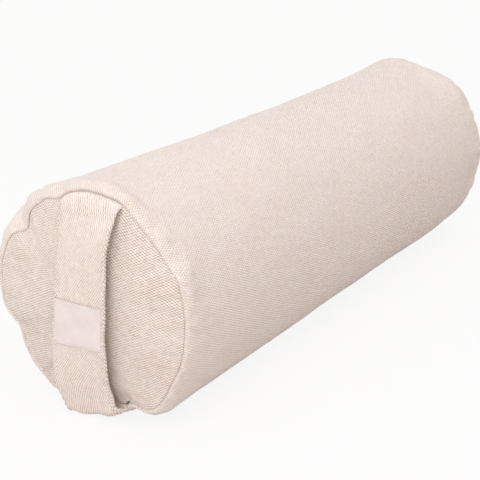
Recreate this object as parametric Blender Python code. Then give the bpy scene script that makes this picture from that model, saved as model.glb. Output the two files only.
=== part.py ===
"""Round yoga bolster: a zipped cotton cover with a carry handle over a stuffed inner cushion.

Units are metres and +Z is up. The bolster lies along Y with its handle at the -Y end. The origin is
the middle of the flat patch that the bolster's own weight presses against the floor.
"""

from math import cos, hypot, pi, radians, sin, sqrt, tan

import bmesh
import bpy
from mathutils import Matrix, Vector

# Bolster
LENGTH = 0.640              # from end seam to end seam
RADIUS = 0.115              # of the round cross-section
FLATTENING = 0.015          # how much lower the underside's pressing flat leaves the axis
SETTLE_BLEND = 0.006        # height over which the round side turns into the flat underside
SIDES = 40                  # facets round the cross-section
CLEARANCE = 0.0003          # between sewn or touching pieces

# Outer cover
COVER_WALL = 0.0012
SEAM_DRAW = 0.011           # how far inside RADIUS an end panel is sewn in
SEAM_ALLOWANCE = 0.010      # turned in behind the end seam
LIP_RADIUS = 0.003          # of the roll on either side of the end seam
SHOULDER_LENGTH = 0.020     # over which the body swells from the seam to full radius
DOME_RISE = 0.012           # of an end panel's middle beyond the seam

# Inner cushion
LINER_WALL = 0.0006
LINER_DRAW = 0.009          # how far inside RADIUS the liner's end seams lie
LINER_SHOULDER = 0.022
CUP_LIP = 0.0025            # radius of the cushion's edge inside the end panel
DENT_LEAD = 0.008           # length over which the cushion dips at each end of the zip

# Carry handle, a folded band sewn into the end seam at top and bottom
HANDLE_X = 0.006            # the band's middle lies a little to +X of the bolster's
HANDLE_WIDTH = 0.062
HANDLE_THICKNESS = 0.0024
HANDLE_EDGE = 0.0030        # width of the softly rounded edge
HANDLE_TUCK = 0.008         # length caught behind the seam
HANDLE_STANDOFF = 0.0248    # of the band's centreline at its fullest
HANDLE_HANG_SHARES = ((0.18, 0.03), (0.37, 0.12), (0.64, 0.27), (0.88, 0.44), (1.00, 0.64), (0.99, 0.79),
               (0.85, 0.91))    # the band's curve, as shares of its stand-off and of its drop
HANDLE_FOLD_OUTER_SHARE = 0.66  # of the stand-off, where the fold on the floor begins
HANDLE_FOLD_INNER_SHARE = 0.36  # and where it ends
HANDLE_FOLD_RISE = 0.0012
HANDLE_TUCK_GAP = 0.0009    # between the band's ends and the seam they pass through
HANDLE_FLOOR_GAP = 0.0008   # between the band's lower fold and the floor
CROWN_LENGTH = 0.045        # over which the band's curve across its width dies out
GRIP_TOP = 0.036            # height of the grip's upper end above the axis
GRIP_BOTTOM = -0.060
LABEL_WIDTH = 0.057
LABEL_HEIGHT = 0.041
LABEL_THICKNESS = 0.0005
LABEL_LIFT = 0.0005         # between the label and the band's face
LABEL_Z = -0.005            # of the label's middle, above the axis
LABEL_TILT = radians(4.5)

# Zip, on the side away from the handle's label and low down
ZIP_ANGLE = radians(198)
ZIP_OPENING = 0.400
SLOT_HALF = 0.0055          # half the gap between the cover's two folded edges
TAPE_HALF = 0.0150          # half the width of the closed zip
TAPE_THICKNESS = 0.0006
TAPE_OVERRUN = 0.012        # tape hidden behind the cover at each end of the opening
TOOTH_PITCH = 0.0036
TOOTH_ROOT = 0.0010         # width of a tooth where it leaves its cord
TOOTH_TIP = 0.0020          # width at its end, wider than the space between two opposite tips
TOOTH_REACH = 0.0013        # past the zip's centre line
TOOTH_THICKNESS = 0.0022
CORD_WIDTH = 0.0010         # of the cord that carries the teeth
STOP_LENGTH = 0.0040
TOP_STOP_LENGTH = 0.0020

# Zip slider and its pull
SLIDER_LENGTH = 0.011
SLIDER_HALF = 0.0043
SLIDER_PLATE = 0.0010
SLIDER_RUN = 0.00025        # between the slider and the teeth
SLIDER_SHOULDER_SHARE = 0.12  # shares of the slider's length and half width give its outline
SLIDER_WAIST_SHARE = 0.86
SLIDER_NOSE_SHARE = 0.90
SLIDER_TIP_SHARE = 0.55
NOSE_LENGTH = 0.001
FLANGE_WIDTH = 0.0007
FLANGE_SHARE = 0.36         # of the slider's length
DIVIDER_HALF = 0.0010
DIVIDER_START = 0.0026
DIVIDER_LENGTH = 0.0020
BRIDGE_HALF = 0.0011
BRIDGE_LENGTH = 0.0064
BRIDGE_WALL = 0.0012
BRIDGE_LEG_SHARE = 0.92     # shares of its half length at which the bridge's legs and crown end
BRIDGE_CROWN_SHARE = 0.60
PULL_BAR = 0.0012           # thickness of the pull, and of the bar that passes under the bridge
PULL_RUN = 0.0004           # between that bar's corners and the bridge
PULL_LENGTH = 0.024
PULL_WIDTH = 0.008
PULL_RAIL = 0.0016
PULL_EYE = 0.0062
PULL_ROUND_SHARES = (0.72, 0.30)    # of its half width, for a point of the pull's rounded end

# Worked out from the sizes above
HALF = LENGTH / 2
AXIS_HEIGHT = RADIUS - FLATTENING
SEAM_RADIUS = RADIUS - SEAM_DRAW
LINER_SEAM_RADIUS = RADIUS - LINER_DRAW
FACET = 2 * pi / SIDES
FACET_PLANE = RADIUS * cos(FACET / 2)
FACET_HALF = RADIUS * sin(FACET / 2)
BODY_SEAM = SEAM_RADIUS + CLEARANCE / 2
PANEL_SEAM = SEAM_RADIUS - CLEARANCE / 2
DOME_RADIUS = PANEL_SEAM - LIP_RADIUS
DOME_SLOPE = sqrt(1 + (2 * DOME_RISE / DOME_RADIUS) ** 2)
CUP_RADIUS = SEAM_RADIUS - (HANDLE_THICKNESS + 2 * HANDLE_TUCK_GAP) * RADIUS / AXIS_HEIGHT
LINER_DEPTH = COVER_WALL + CLEARANCE
FILLING_DEPTH = LINER_DEPTH + LINER_WALL + CLEARANCE
TAPE_TOP = -(COVER_WALL + CLEARANCE)
TOOTH_MIDDLE = TAPE_TOP - TAPE_THICKNESS / 2
TOOTH_TOP = TOOTH_MIDDLE + TOOTH_THICKNESS / 2
TOOTH_BOTTOM = TOOTH_MIDDLE - TOOTH_THICKNESS / 2
CORD_INNER = TOOTH_REACH + CLEARANCE
CORD_OUTER = CORD_INNER + CORD_WIDTH
TAPE_INNER = CORD_OUTER + CLEARANCE
PLATE_BOTTOM = TOOTH_TOP + SLIDER_RUN
PLATE_TOP = PLATE_BOTTOM + SLIDER_PLATE
UNDERPLATE_TOP = TOOTH_BOTTOM - SLIDER_RUN
UNDERPLATE_BOTTOM = UNDERPLATE_TOP - SLIDER_PLATE
ZIP_DENT = -UNDERPLATE_BOTTOM + CLEARANCE - LINER_DEPTH
DENT_HALF = ZIP_OPENING / 2 + TAPE_OVERRUN
PIN_HEIGHT = PLATE_TOP + PULL_RUN + PULL_BAR / sqrt(2)
TEETH_START = -ZIP_OPENING / 2 + STOP_LENGTH + 2 * CLEARANCE
TEETH_ROOM = ZIP_OPENING - STOP_LENGTH - SLIDER_LENGTH - TOP_STOP_LENGTH + DIVIDER_START
TOOTH_COUNT = int(TEETH_ROOM / TOOTH_PITCH) - 1
TEETH_END = TEETH_START + (TOOTH_COUNT + 0.5) * TOOTH_PITCH
SLIDER_Y = TEETH_END + CLEARANCE - DIVIDER_START

COTTON = ("natural_cotton_twill", (0.83, 0.73, 0.66), 0.92, 0.0)
SATIN = ("blank_satin_label", (0.86, 0.81, 0.78), 0.55, 0.0)
TAPE = ("cream_zip_tape", (0.80, 0.72, 0.64), 0.85, 0.0)
TEETH = ("ivory_moulded_teeth", (0.82, 0.76, 0.68), 0.40, 0.0)
METAL = ("brushed_nickel", (0.66, 0.64, 0.61), 0.32, 1.0)
LINER = ("unbleached_calico", (0.80, 0.74, 0.66), 0.95, 0.0)
KAPOK = ("kapok_fibre", (0.84, 0.77, 0.62), 1.0, 0.0)


def clear_scene():
    """Start from an empty scene, whatever file is open."""
    for obj in list(bpy.data.objects):
        bpy.data.objects.remove(obj, do_unlink=True)


def finish_material(finish):
    """The Principled material of a finish, made once and shared."""
    name, colour, roughness, metallic = finish
    if name in bpy.data.materials:
        return bpy.data.materials[name]
    material = bpy.data.materials.new(name)
    material.use_nodes = True
    shader = material.node_tree.nodes["Principled BSDF"]
    shader.inputs["Base Color"].default_value = (*colour, 1)
    shader.inputs["Roughness"].default_value = roughness
    shader.inputs["Metallic"].default_value = metallic
    material.diffuse_color = (*colour, 1)
    return material


def add_piece(name, bm, finish, parent=None, location=(0, 0, 0)):
    """Turn a bmesh, modelled about its own origin, into a placed object."""
    mesh = bpy.data.meshes.new(name)
    bm.to_mesh(mesh)
    bm.free()
    mesh.shade_smooth()
    mesh.set_sharp_from_angle(angle=radians(35))
    obj = bpy.data.objects.new(name, mesh)
    obj.data.materials.append(finish_material(finish))
    obj.parent = parent
    obj.location = location
    bpy.context.scene.collection.objects.link(obj)
    return obj


def add_empty(name, matrix):
    """A frame that other pieces are placed in."""
    obj = bpy.data.objects.new(name, None)
    obj.matrix_world = matrix
    bpy.context.scene.collection.objects.link(obj)
    return obj


def add_wall(obj, thickness):
    """Give a surface its cloth thickness, grown inwards from its outer face."""
    wall = obj.modifiers.new("wall", "SOLIDIFY")
    wall.thickness = thickness
    wall.offset = -1
    wall.use_even_offset = True
    wall.use_quality_normals = True


def cut(obj, cutter):
    """Cut one object's shape out of another."""
    cutter.hide_render = True
    cutter.display_type = "WIRE"
    hole = obj.modifiers.new("cut_" + cutter.name, "BOOLEAN")
    hole.operation = "DIFFERENCE"
    hole.solver = "EXACT"
    hole.object = cutter


def join(obj, other):
    """Fuse a second object into the first, leaving the second as a construction guide."""
    other.hide_render = True
    other.display_type = "WIRE"
    fused = obj.modifiers.new("join_" + other.name, "BOOLEAN")
    fused.operation = "UNION"
    fused.solver = "EXACT"
    fused.object = other


def face_outwards(bm):
    """Point every face away from the bolster's middle."""
    bmesh.ops.recalc_face_normals(bm, faces=bm.faces)
    if bm.calc_volume(signed=True) < 0:
        bmesh.ops.reverse_faces(bm, faces=bm.faces)


# Round soft pieces: a profile spun about the bolster's axis, then settled on the floor

def soft_max(value, low, blend):
    """The larger of two values, rounded where they meet and exactly low well below it."""
    near = max(blend - abs(value - low), 0) / blend
    return max(value, low) + near * near * blend / 4


def settle(bm, depth, dented):
    """Flatten the underside, and press a piece inside the cover in behind the zip.

    depth is how far the surface lies inside the cover's outer face.
    """
    for vert in bm.verts:
        x, y, z = vert.co
        radius = hypot(x, z)
        if dented and abs(y) < DENT_HALF:
            away = Vector((x, z)).angle(Vector((cos(ZIP_ANGLE), sin(ZIP_ANGLE))), pi)
            if away < FACET:
                x *= 1 - ZIP_DENT / radius
                z *= 1 - ZIP_DENT / radius
        share = min((radius + depth) / RADIUS, 1)
        floor = depth - AXIS_HEIGHT * share
        vert.co = x, y, soft_max(z, floor, SETTLE_BLEND)
    bmesh.ops.translate(bm, verts=bm.verts, vec=(0, 0, AXIS_HEIGHT))


def spin_profile(profile, depth=0.0, dented=False):
    """Spin (y, radius) points about the bolster's axis into a settled surface."""
    start = ZIP_ANGLE + FACET / 2
    bm = bmesh.new()
    verts = [bm.verts.new((r * cos(start), y, r * sin(start))) for y, r in profile]
    edges = [bm.edges.new(pair) for pair in zip(verts, verts[1:])]
    bmesh.ops.spin(bm, geom=verts + edges, axis=(0, 1, 0), cent=(0, 0, 0), angle=2 * pi,
                   steps=SIDES, use_merge=True)
    bmesh.ops.remove_doubles(bm, verts=bm.verts, dist=1e-6)
    face_outwards(bm)
    settle(bm, depth, dented)
    return bm


def at_end(side, profile):
    """Turn (distance beyond the seam plane, radius) points into (y, radius) at one end."""
    return [(side * (HALF + beyond), r) for beyond, r in profile]


def quarter_arc(start, end, first_outwards, steps):
    """Points of a quarter ellipse from start to end, beyond start itself.

    It leaves start along the radius if first_outwards, and along the bolster otherwise.
    """
    points = []
    for step in range(1, steps + 1):
        turn = step / steps * pi / 2
        early, late = sin(turn), 1 - cos(turn)
        along, out = (late, early) if first_outwards else (early, late)
        points.append((start[0] + (end[0] - start[0]) * along,
                       start[1] + (end[1] - start[1]) * out))
    return points


def dome(radius):
    """How far an end panel's outer face stands beyond the seam plane."""
    return DOME_RISE * (1 - (radius / DOME_RADIUS) ** 2)


def body_end():
    """The cover body's profile at one end, from its turned-in edge to full radius."""
    roll = (-LIP_RADIUS, BODY_SEAM)
    rim = (0, BODY_SEAM + LIP_RADIUS)
    points = [(-SEAM_ALLOWANCE, BODY_SEAM), roll]
    points += quarter_arc(roll, rim, False, 2)
    points += quarter_arc(rim, (-SHOULDER_LENGTH, RADIUS), True, 4)
    return points


def panel_profile():
    """An end panel's profile, from its middle to its turned-in edge."""
    rings = 4
    points = [(dome(r), r) for r in (DOME_RADIUS * i / rings for i in range(rings + 1))]
    points += quarter_arc(points[-1], (-LIP_RADIUS, PANEL_SEAM), True, 2)
    points.append((-SEAM_ALLOWANCE, PANEL_SEAM))
    return points


def cushion_end(depth):
    """The inner cushion's end: a cup that fills the end panel inside its turned-in edge."""
    inner = depth - LINER_DEPTH
    wall = CUP_RADIUS - inner
    edge = wall - CUP_LIP
    shelf = -(SEAM_ALLOWANCE + CLEARANCE + inner)
    rings = 2
    points = [(dome(r) - depth * DOME_SLOPE, r) for r in (edge * i / rings for i in range(rings + 1))]
    points.append((points[-1][0] - CUP_LIP, wall))
    points += [(shelf, wall), (shelf, LINER_SEAM_RADIUS - inner)]
    return points


def cushion_side(depth):
    """The inner cushion's side at one end, from its end seam to full radius."""
    inner = depth - LINER_DEPTH
    behind = SEAM_ALLOWANCE + LINER_WALL + 2 * CLEARANCE + inner
    seam = (-behind, LINER_SEAM_RADIUS - inner)
    full = (-behind - LINER_SHOULDER, RADIUS - depth)
    return [seam] + quarter_arc(seam, full, True, 2)


def dented_run(depth):
    """Rings along the straight side, either side of each end of the dent behind the zip."""
    before, after = DENT_HALF + DENT_LEAD, DENT_HALF - CLEARANCE
    return [(y, RADIUS - depth) for y in (-before, -after, after, before)]


def build_cover():
    """The cover's tube, open along the zip, and its two domed end panels."""
    front, rear = at_end(-1, body_end()), at_end(1, body_end())
    body = add_piece("cover_body_panel", spin_profile(front + rear[::-1]), COTTON)
    add_wall(body, COVER_WALL)
    panels = []
    for name, side in (("cover_front_panel", -1), ("cover_rear_panel", 1)):
        panel = add_piece(name, spin_profile(at_end(side, panel_profile())), COTTON)
        add_wall(panel, COVER_WALL)
        panels.append(panel)
    return body, panels[0]


def build_cushion():
    """The calico liner, a tube with two cupped ends, and the kapok it holds."""
    front = at_end(-1, cushion_side(LINER_DEPTH))
    rear = at_end(1, cushion_side(LINER_DEPTH))
    tube = front + dented_run(LINER_DEPTH) + rear[::-1]
    add_wall(add_piece("liner_body_panel", spin_profile(tube, LINER_DEPTH, True), LINER), LINER_WALL)
    for name, side in (("liner_front_panel", -1), ("liner_rear_panel", 1)):
        bm = spin_profile(at_end(side, cushion_end(LINER_DEPTH)), LINER_DEPTH)
        add_wall(add_piece(name, bm, LINER), LINER_WALL)

    end = cushion_end(FILLING_DEPTH) + cushion_side(FILLING_DEPTH)
    filling = at_end(-1, end) + dented_run(FILLING_DEPTH) + at_end(1, end)[::-1]
    add_piece("kapok_filling", spin_profile(filling, FILLING_DEPTH, True), KAPOK)


# Carry handle

def handle_route():
    """Centreline of the band as (stand-off from the seam plane, height above the axis)."""
    top = SEAM_RADIUS - HANDLE_TUCK_GAP - HANDLE_THICKNESS / 2
    bottom = -AXIS_HEIGHT * SEAM_RADIUS / RADIUS + HANDLE_TUCK_GAP + HANDLE_THICKNESS / 2
    fold = -AXIS_HEIGHT + HANDLE_FLOOR_GAP + HANDLE_THICKNESS / 2
    route = [(-HANDLE_TUCK, top), (0, top)]
    route += [(out * HANDLE_STANDOFF, top + down * (fold - top)) for out, down in HANDLE_HANG_SHARES]
    route += [(HANDLE_FOLD_OUTER_SHARE * HANDLE_STANDOFF, fold),
              (HANDLE_FOLD_INNER_SHARE * HANDLE_STANDOFF, fold + HANDLE_FOLD_RISE),
              (0, bottom), (-HANDLE_TUCK, bottom)]
    return [Vector(point) for point in route]


def smooth_route(points, steps):
    """A smooth curve through the route's points, resting on the floor where it is lowest."""
    ends = [points[0] * 2 - points[1]] + points + [points[-1] * 2 - points[-2]]
    curve = []
    for a, b, c, d in zip(ends, ends[1:], ends[2:], ends[3:]):
        for step in range(steps):
            t = step / steps
            curve.append(0.5 * (2 * b + (c - a) * t + (2 * a - 5 * b + 4 * c - d) * t * t
                                + (3 * b - a - 3 * c + d) * t ** 3))
    curve.append(points[-1])
    floor = -AXIS_HEIGHT + HANDLE_FLOOR_GAP + HANDLE_THICKNESS / 2
    return [Vector((beyond, max(up, floor))) for beyond, up in curve]


def band_outline(width, thickness, edge):
    """Cross-section of the band as (across, height), with softly rounded edges."""
    half, up = width / 2, thickness / 2
    top = [(-half + edge, up), (-half / 3, up), (half / 3, up), (half - edge, up)]
    right = [(half - edge / 4, up * 0.7), (half, 0), (half - edge / 4, -up * 0.7)]
    bottom = [(x, -z) for x, z in top[::-1]]
    left = [(-x, z) for x, z in right[::-1]]
    return top + right + bottom + left


def band_point(spot, ahead, across, height, crown):
    """A point of the band, at spot on the route and heading along ahead."""
    out = Vector((-ahead.y, ahead.x))
    beyond, up = spot + out * height
    x = HANDLE_X + across
    drop = SEAM_RADIUS - sqrt(SEAM_RADIUS ** 2 - x ** 2)
    return Vector((x, -HALF - beyond, AXIS_HEIGHT + up - crown * drop))


def loft_band(route, outline, tilt=0.0):
    """Loft the outline along a stretch of the route into one closed body."""
    bm = bmesh.new()
    rings = []
    top = SEAM_RADIUS - HANDLE_TUCK_GAP - HANDLE_THICKNESS / 2
    for index, spot in enumerate(route):
        before, after = route[max(index - 1, 0)], route[min(index + 1, len(route) - 1)]
        ahead = (after - before).normalized()
        crown = max(0, 1 - (top - spot.y) / CROWN_LENGTH)
        crown = crown * crown * (3 - 2 * crown)
        ring = []
        for across, height in outline:
            point = band_point(spot, ahead, across, height, crown)
            point.z += across * tan(tilt)
            ring.append(bm.verts.new(point))
        rings.append(ring)
    for ring, following in zip(rings, rings[1:]):
        loops = [[bm.edges.get(pair) or bm.edges.new(pair) for pair in zip(r, r[1:] + r[:1])]
                 for r in (ring, following)]
        bmesh.ops.bridge_loops(bm, edges=loops[0] + loops[1])
    for ring in (rings[0], rings[-1]):
        bm.faces.new(ring)
    bmesh.ops.recalc_face_normals(bm, faces=bm.faces)
    return bm


def height_on(curve, height):
    """The point where the hanging part of the curve crosses a height above the axis."""
    for a, b in zip(curve, curve[1:]):
        if a.y >= height > b.y:
            return a.lerp(b, (a.y - height) / (a.y - b.y))
    raise ValueError("the handle doesn't reach that height")


def split_curve(curve):
    """The band's centreline as its upper leg, its grip and its lower leg."""
    fullest = max(range(len(curve)), key=lambda index: curve[index].x)
    upper = [spot for spot in curve[:fullest] if spot.y > GRIP_TOP + CLEARANCE]
    middle = [spot for spot in curve if GRIP_BOTTOM < spot.y < GRIP_TOP]
    lower = [spot for spot in curve[fullest:] if spot.y < GRIP_BOTTOM - CLEARANCE]
    upper.append(height_on(curve, GRIP_TOP + CLEARANCE))
    middle.insert(0, height_on(curve, GRIP_TOP))
    middle.append(height_on(curve, GRIP_BOTTOM))
    lower.insert(0, height_on(curve, GRIP_BOTTOM - CLEARANCE))
    return upper, middle, lower


def build_handle(front_panel):
    """The band in three lengths, so that its middle can be lifted, and its blank label."""
    curve = smooth_route(handle_route(), 3)
    upper, grip_curve, lower = split_curve(curve)
    outline = band_outline(HANDLE_WIDTH, HANDLE_THICKNESS, HANDLE_EDGE)
    add_piece("handle_upper_leg", loft_band(upper, outline), COTTON)
    add_piece("handle_lower_leg", loft_band(lower, outline), COTTON)

    grip_origin = Vector((HANDLE_X, -HALF - HANDLE_STANDOFF, AXIS_HEIGHT + LABEL_Z))
    grip_bm = loft_band(grip_curve, outline)
    bmesh.ops.translate(grip_bm, verts=grip_bm.verts, vec=-grip_origin)
    grip = add_piece("handle_grip", grip_bm, COTTON, location=grip_origin)

    lift = HANDLE_THICKNESS / 2 + LABEL_LIFT
    half_label = LABEL_WIDTH / 2
    patch = [(-half_label, lift + LABEL_THICKNESS), (half_label, lift + LABEL_THICKNESS),
             (half_label, lift), (-half_label, lift)]
    rows = 4
    levels = [LABEL_Z + LABEL_HEIGHT * (0.5 - row / rows) for row in range(rows + 1)]
    label_bm = loft_band([height_on(curve, level) for level in levels], patch, LABEL_TILT)
    bmesh.ops.translate(label_bm, verts=label_bm.verts, vec=-grip_origin)
    add_piece("blank_label", label_bm, SATIN, parent=grip)

    swollen = band_outline(HANDLE_WIDTH + 2 * CLEARANCE, HANDLE_THICKNESS + 2 * CLEARANCE, HANDLE_EDGE)
    beyond = Vector((2 * CLEARANCE, 0))
    slots = (("upper_tuck_slot", [curve[0] - beyond] + curve[:7]),
             ("lower_tuck_slot", curve[-6:] + [curve[-1] - beyond]))
    for name, piece in slots:
        cut(front_panel, add_piece(name, loft_band(piece, swollen), COTTON))


# Zip, modelled flat: x across it (up the bolster's side), y along it and z out of the cover

def box(low, high):
    """A plain block between two corners."""
    bm = bmesh.new()
    bmesh.ops.create_cube(bm, size=1)
    low, high = Vector(low), Vector(high)
    bmesh.ops.scale(bm, vec=high - low, verts=bm.verts)
    bmesh.ops.translate(bm, vec=(high + low) / 2, verts=bm.verts)
    return bm


def extrude_outline(points, bottom, top):
    """A flat outline of (x, y) points drawn up into a solid."""
    bm = bmesh.new()
    face = bm.faces.new([bm.verts.new((x, y, bottom)) for x, y in points])
    grown = bmesh.ops.extrude_face_region(bm, geom=[face])
    verts = [item for item in grown["geom"] if isinstance(item, bmesh.types.BMVert)]
    bmesh.ops.translate(bm, vec=(0, 0, top - bottom), verts=verts)
    bmesh.ops.recalc_face_normals(bm, faces=bm.faces)
    return bm


def round_corners(bm, radius):
    """Round a solid's upright edges."""
    edges = []
    for edge in bm.edges:
        run = (edge.verts[0].co - edge.verts[1].co).normalized()
        if abs(run.z) > 0.99:
            edges.append(edge)
    bmesh.ops.bevel(bm, geom=edges, offset=radius, affect="EDGES", segments=2, profile=0.5,
                    material=-1, offset_type="OFFSET")


def tape_section():
    """The tape's upper face as (x, z), bent where the cover's facets meet."""
    corner = FACET_HALF * (FACET_PLANE + TAPE_TOP) / FACET_PLANE
    beyond = TAPE_HALF - corner
    return [(TAPE_INNER, TAPE_TOP), (corner, TAPE_TOP),
            (corner + beyond * cos(FACET), TAPE_TOP - beyond * sin(FACET))]


def build_tape(name, side, frame):
    """One tape, laid along the inside of the cover."""
    bm = bmesh.new()
    half = ZIP_OPENING / 2 + TAPE_OVERRUN
    verts = [bm.verts.new((side * x, -half, z)) for x, z in tape_section()]
    edges = [bm.edges.new(pair) for pair in zip(verts, verts[1:])]
    grown = bmesh.ops.extrude_edge_only(bm, edges=edges)
    far = [item for item in grown["geom"] if isinstance(item, bmesh.types.BMVert)]
    bmesh.ops.translate(bm, vec=(0, 2 * half, 0), verts=far)
    bmesh.ops.recalc_face_normals(bm, faces=bm.faces)
    if bm.faces[:][0].normal.z < 0:
        bmesh.ops.reverse_faces(bm, faces=bm.faces)
    add_wall(add_piece(name, bm, TAPE, parent=frame), TAPE_THICKNESS)


def build_teeth(name, side, frame):
    """One row of dovetail teeth on its cord, set half a pitch from the other row."""
    offset = 0 if side > 0 else TOOTH_PITCH / 2
    inner = []
    for tooth in range(TOOTH_COUNT):
        middle = TEETH_START + (tooth + 0.5) * TOOTH_PITCH + offset
        inner += [(CORD_INNER, middle - TOOTH_ROOT / 2), (-TOOTH_REACH, middle - TOOTH_TIP / 2),
                  (-TOOTH_REACH, middle + TOOTH_TIP / 2), (CORD_INNER, middle + TOOTH_ROOT / 2)]
    outline = [(CORD_OUTER, TEETH_START), (CORD_INNER, TEETH_START)]
    outline += inner + [(CORD_INNER, TEETH_END), (CORD_OUTER, TEETH_END)]
    points = [(side * x, y) for x, y in outline]
    add_piece(name, extrude_outline(points, TOOTH_BOTTOM, TOOTH_TOP), TEETH, parent=frame)


def build_stops(frame):
    """The stop that joins the rows at one end, and one on each tape at the other."""
    start = TEETH_START - CLEARANCE
    reach = TOOTH_THICKNESS / 2 + CLEARANCE
    low, high = TOOTH_MIDDLE - reach, TOOTH_MIDDLE + reach
    bottom = box((-CORD_OUTER, start - STOP_LENGTH, low), (CORD_OUTER, start, high))
    round_corners(bottom, STOP_LENGTH / 8)
    add_piece("zip_bottom_stop", bottom, METAL, parent=frame)
    start = SLIDER_Y + SLIDER_LENGTH / 2 + CLEARANCE
    for name, side in (("zip_top_stop_upper", 1), ("zip_top_stop_lower", -1)):
        across = sorted((side * DIVIDER_HALF, side * CORD_OUTER))
        stop = box((across[0], start, low), (across[1], start + TOP_STOP_LENGTH, high))
        round_corners(stop, TOP_STOP_LENGTH / 8)
        add_piece(name, stop, METAL, parent=frame)


def shield(half, length):
    """The slider plate's outline, drawn in towards the closed side of the zip."""
    shoulder = length * SLIDER_SHOULDER_SHARE
    waist, nose, tip = half * SLIDER_WAIST_SHARE, half * SLIDER_NOSE_SHARE, half * SLIDER_TIP_SHARE
    return [(-waist, -length / 2), (waist, -length / 2), (half, shoulder), (nose, length / 2 - NOSE_LENGTH),
            (tip, length / 2), (-tip, length / 2), (-nose, length / 2 - NOSE_LENGTH), (-half, shoulder)]


def bridge_outline():
    """The slider's bridge in side view, as (y, z): an arch over the pull's bar."""
    half = BRIDGE_LENGTH / 2
    top = PIN_HEIGHT + PULL_BAR / sqrt(2) + PULL_RUN
    crown = top + BRIDGE_WALL
    foot = PLATE_TOP - SLIDER_PLATE / 2
    inner, leg, peak = half - BRIDGE_WALL, half * BRIDGE_LEG_SHARE, half * BRIDGE_CROWN_SHARE
    return [(-half, foot), (-leg, top), (-peak, crown), (peak, crown), (leg, top), (half, foot),
            (inner, foot), (inner, top), (-inner, top), (-inner, foot)]


def build_slider(frame):
    """The slider: two plates joined by a divider, edge flanges and a bridge for the pull."""
    plate = extrude_outline(shield(SLIDER_HALF, SLIDER_LENGTH), PLATE_BOTTOM, PLATE_TOP)
    slider = add_piece("zip_slider", plate, METAL, parent=frame, location=(0, SLIDER_Y, 0))
    fused = [("slider_underplate",
              extrude_outline(shield(SLIDER_HALF, SLIDER_LENGTH), UNDERPLATE_BOTTOM, UNDERPLATE_TOP))]
    overlap = SLIDER_PLATE / 2
    fused.append(("slider_divider",
                  box((-DIVIDER_HALF, DIVIDER_START, UNDERPLATE_TOP - overlap),
                      (DIVIDER_HALF, DIVIDER_START + DIVIDER_LENGTH, PLATE_BOTTOM + overlap))))
    flange_half = SLIDER_LENGTH * FLANGE_SHARE
    for side in (-1, 1):
        outer = SLIDER_HALF * SLIDER_WAIST_SHARE
        across = sorted((side * outer, side * (outer - FLANGE_WIDTH)))
        levels = ((TAPE_TOP + SLIDER_RUN, PLATE_BOTTOM + overlap),
                  (UNDERPLATE_TOP - overlap, TAPE_TOP - TAPE_THICKNESS - SLIDER_RUN))
        for level, (low, high) in enumerate(levels):
            fused.append((f"slider_flange_{side}_{level}",
                          box((across[0], -flange_half, low), (across[1], flange_half, high))))
    arch = extrude_outline(bridge_outline(), -BRIDGE_HALF, BRIDGE_HALF)
    bmesh.ops.rotate(arch, verts=arch.verts, cent=(0, 0, 0),
                     matrix=Matrix(((0, 0, 1), (1, 0, 0), (0, 1, 0))))
    fused.append(("slider_bridge", arch))
    for name, bm in fused:
        join(slider, add_piece(name, bm, METAL, parent=slider))
    return slider


def build_pull(slider):
    """The pull: a flat tab with an eye, whose end bar turns under the slider's bridge."""
    half_bar, half_width = PULL_BAR / 2, PULL_WIDTH / 2
    end = -PULL_LENGTH
    eye_half = BRIDGE_HALF + 2 * PULL_RUN
    neck = eye_half + PULL_RAIL
    wide, narrow = (half_width * share for share in PULL_ROUND_SHARES)
    right = [(neck, half_bar), (neck, -PULL_EYE - PULL_RAIL), (half_width, end + half_width),
             (wide, end + narrow), (narrow, end)]
    outline = right + [(-x, y) for x, y in right[::-1]]
    tab = add_piece("zip_pull_tab", extrude_outline(outline[::-1], -half_bar, half_bar), METAL,
                    parent=slider, location=(0, 0, PIN_HEIGHT))
    eye = add_piece("pull_eye", box((-eye_half, -PULL_EYE, -PULL_BAR), (eye_half, -half_bar, PULL_BAR)),
                    METAL, parent=tab)
    cut(tab, eye)


def build_zip(cover_body):
    """The zip in the cover's side, and the opening that it closes."""
    out = Vector((cos(ZIP_ANGLE), 0, sin(ZIP_ANGLE)))
    up = Vector((sin(ZIP_ANGLE), 0, -cos(ZIP_ANGLE)))
    place = Matrix((up, (0, 1, 0), out)).transposed().to_4x4()
    place.translation = out * FACET_PLANE + Vector((0, 0, AXIS_HEIGHT))
    frame = add_empty("zip_line", place)
    slot = box((-SLOT_HALF, -ZIP_OPENING / 2, -4 * COVER_WALL), (SLOT_HALF, ZIP_OPENING / 2, 4 * COVER_WALL))
    round_corners(slot, SLOT_HALF / 3)
    cut(cover_body, add_piece("zip_opening", slot, COTTON, parent=frame))
    for word, side in (("upper", 1), ("lower", -1)):
        build_tape("zip_tape_" + word, side, frame)
        build_teeth("zip_teeth_" + word, side, frame)
    build_stops(frame)
    build_pull(build_slider(frame))


def main():
    clear_scene()
    cover_body, front_panel = build_cover()
    build_cushion()
    build_handle(front_panel)
    build_zip(cover_body)


main()
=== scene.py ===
"""Round yoga bolster, dressed: twill cover, carry strap, blank label, zip, liner and filling.

Units are metres, +Z is up and the bolster lies along Y with its strap at the -Y end. Soft pieces are
modelled round the bolster's own axis and then shaped and settled on the floor. Angles round the axis
start at +X and turn towards +Z.
"""

from math import cos, hypot, pi, radians, sin, sqrt, tan

import bmesh
import bpy
import numpy as np
from mathutils import Matrix, Vector


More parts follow.
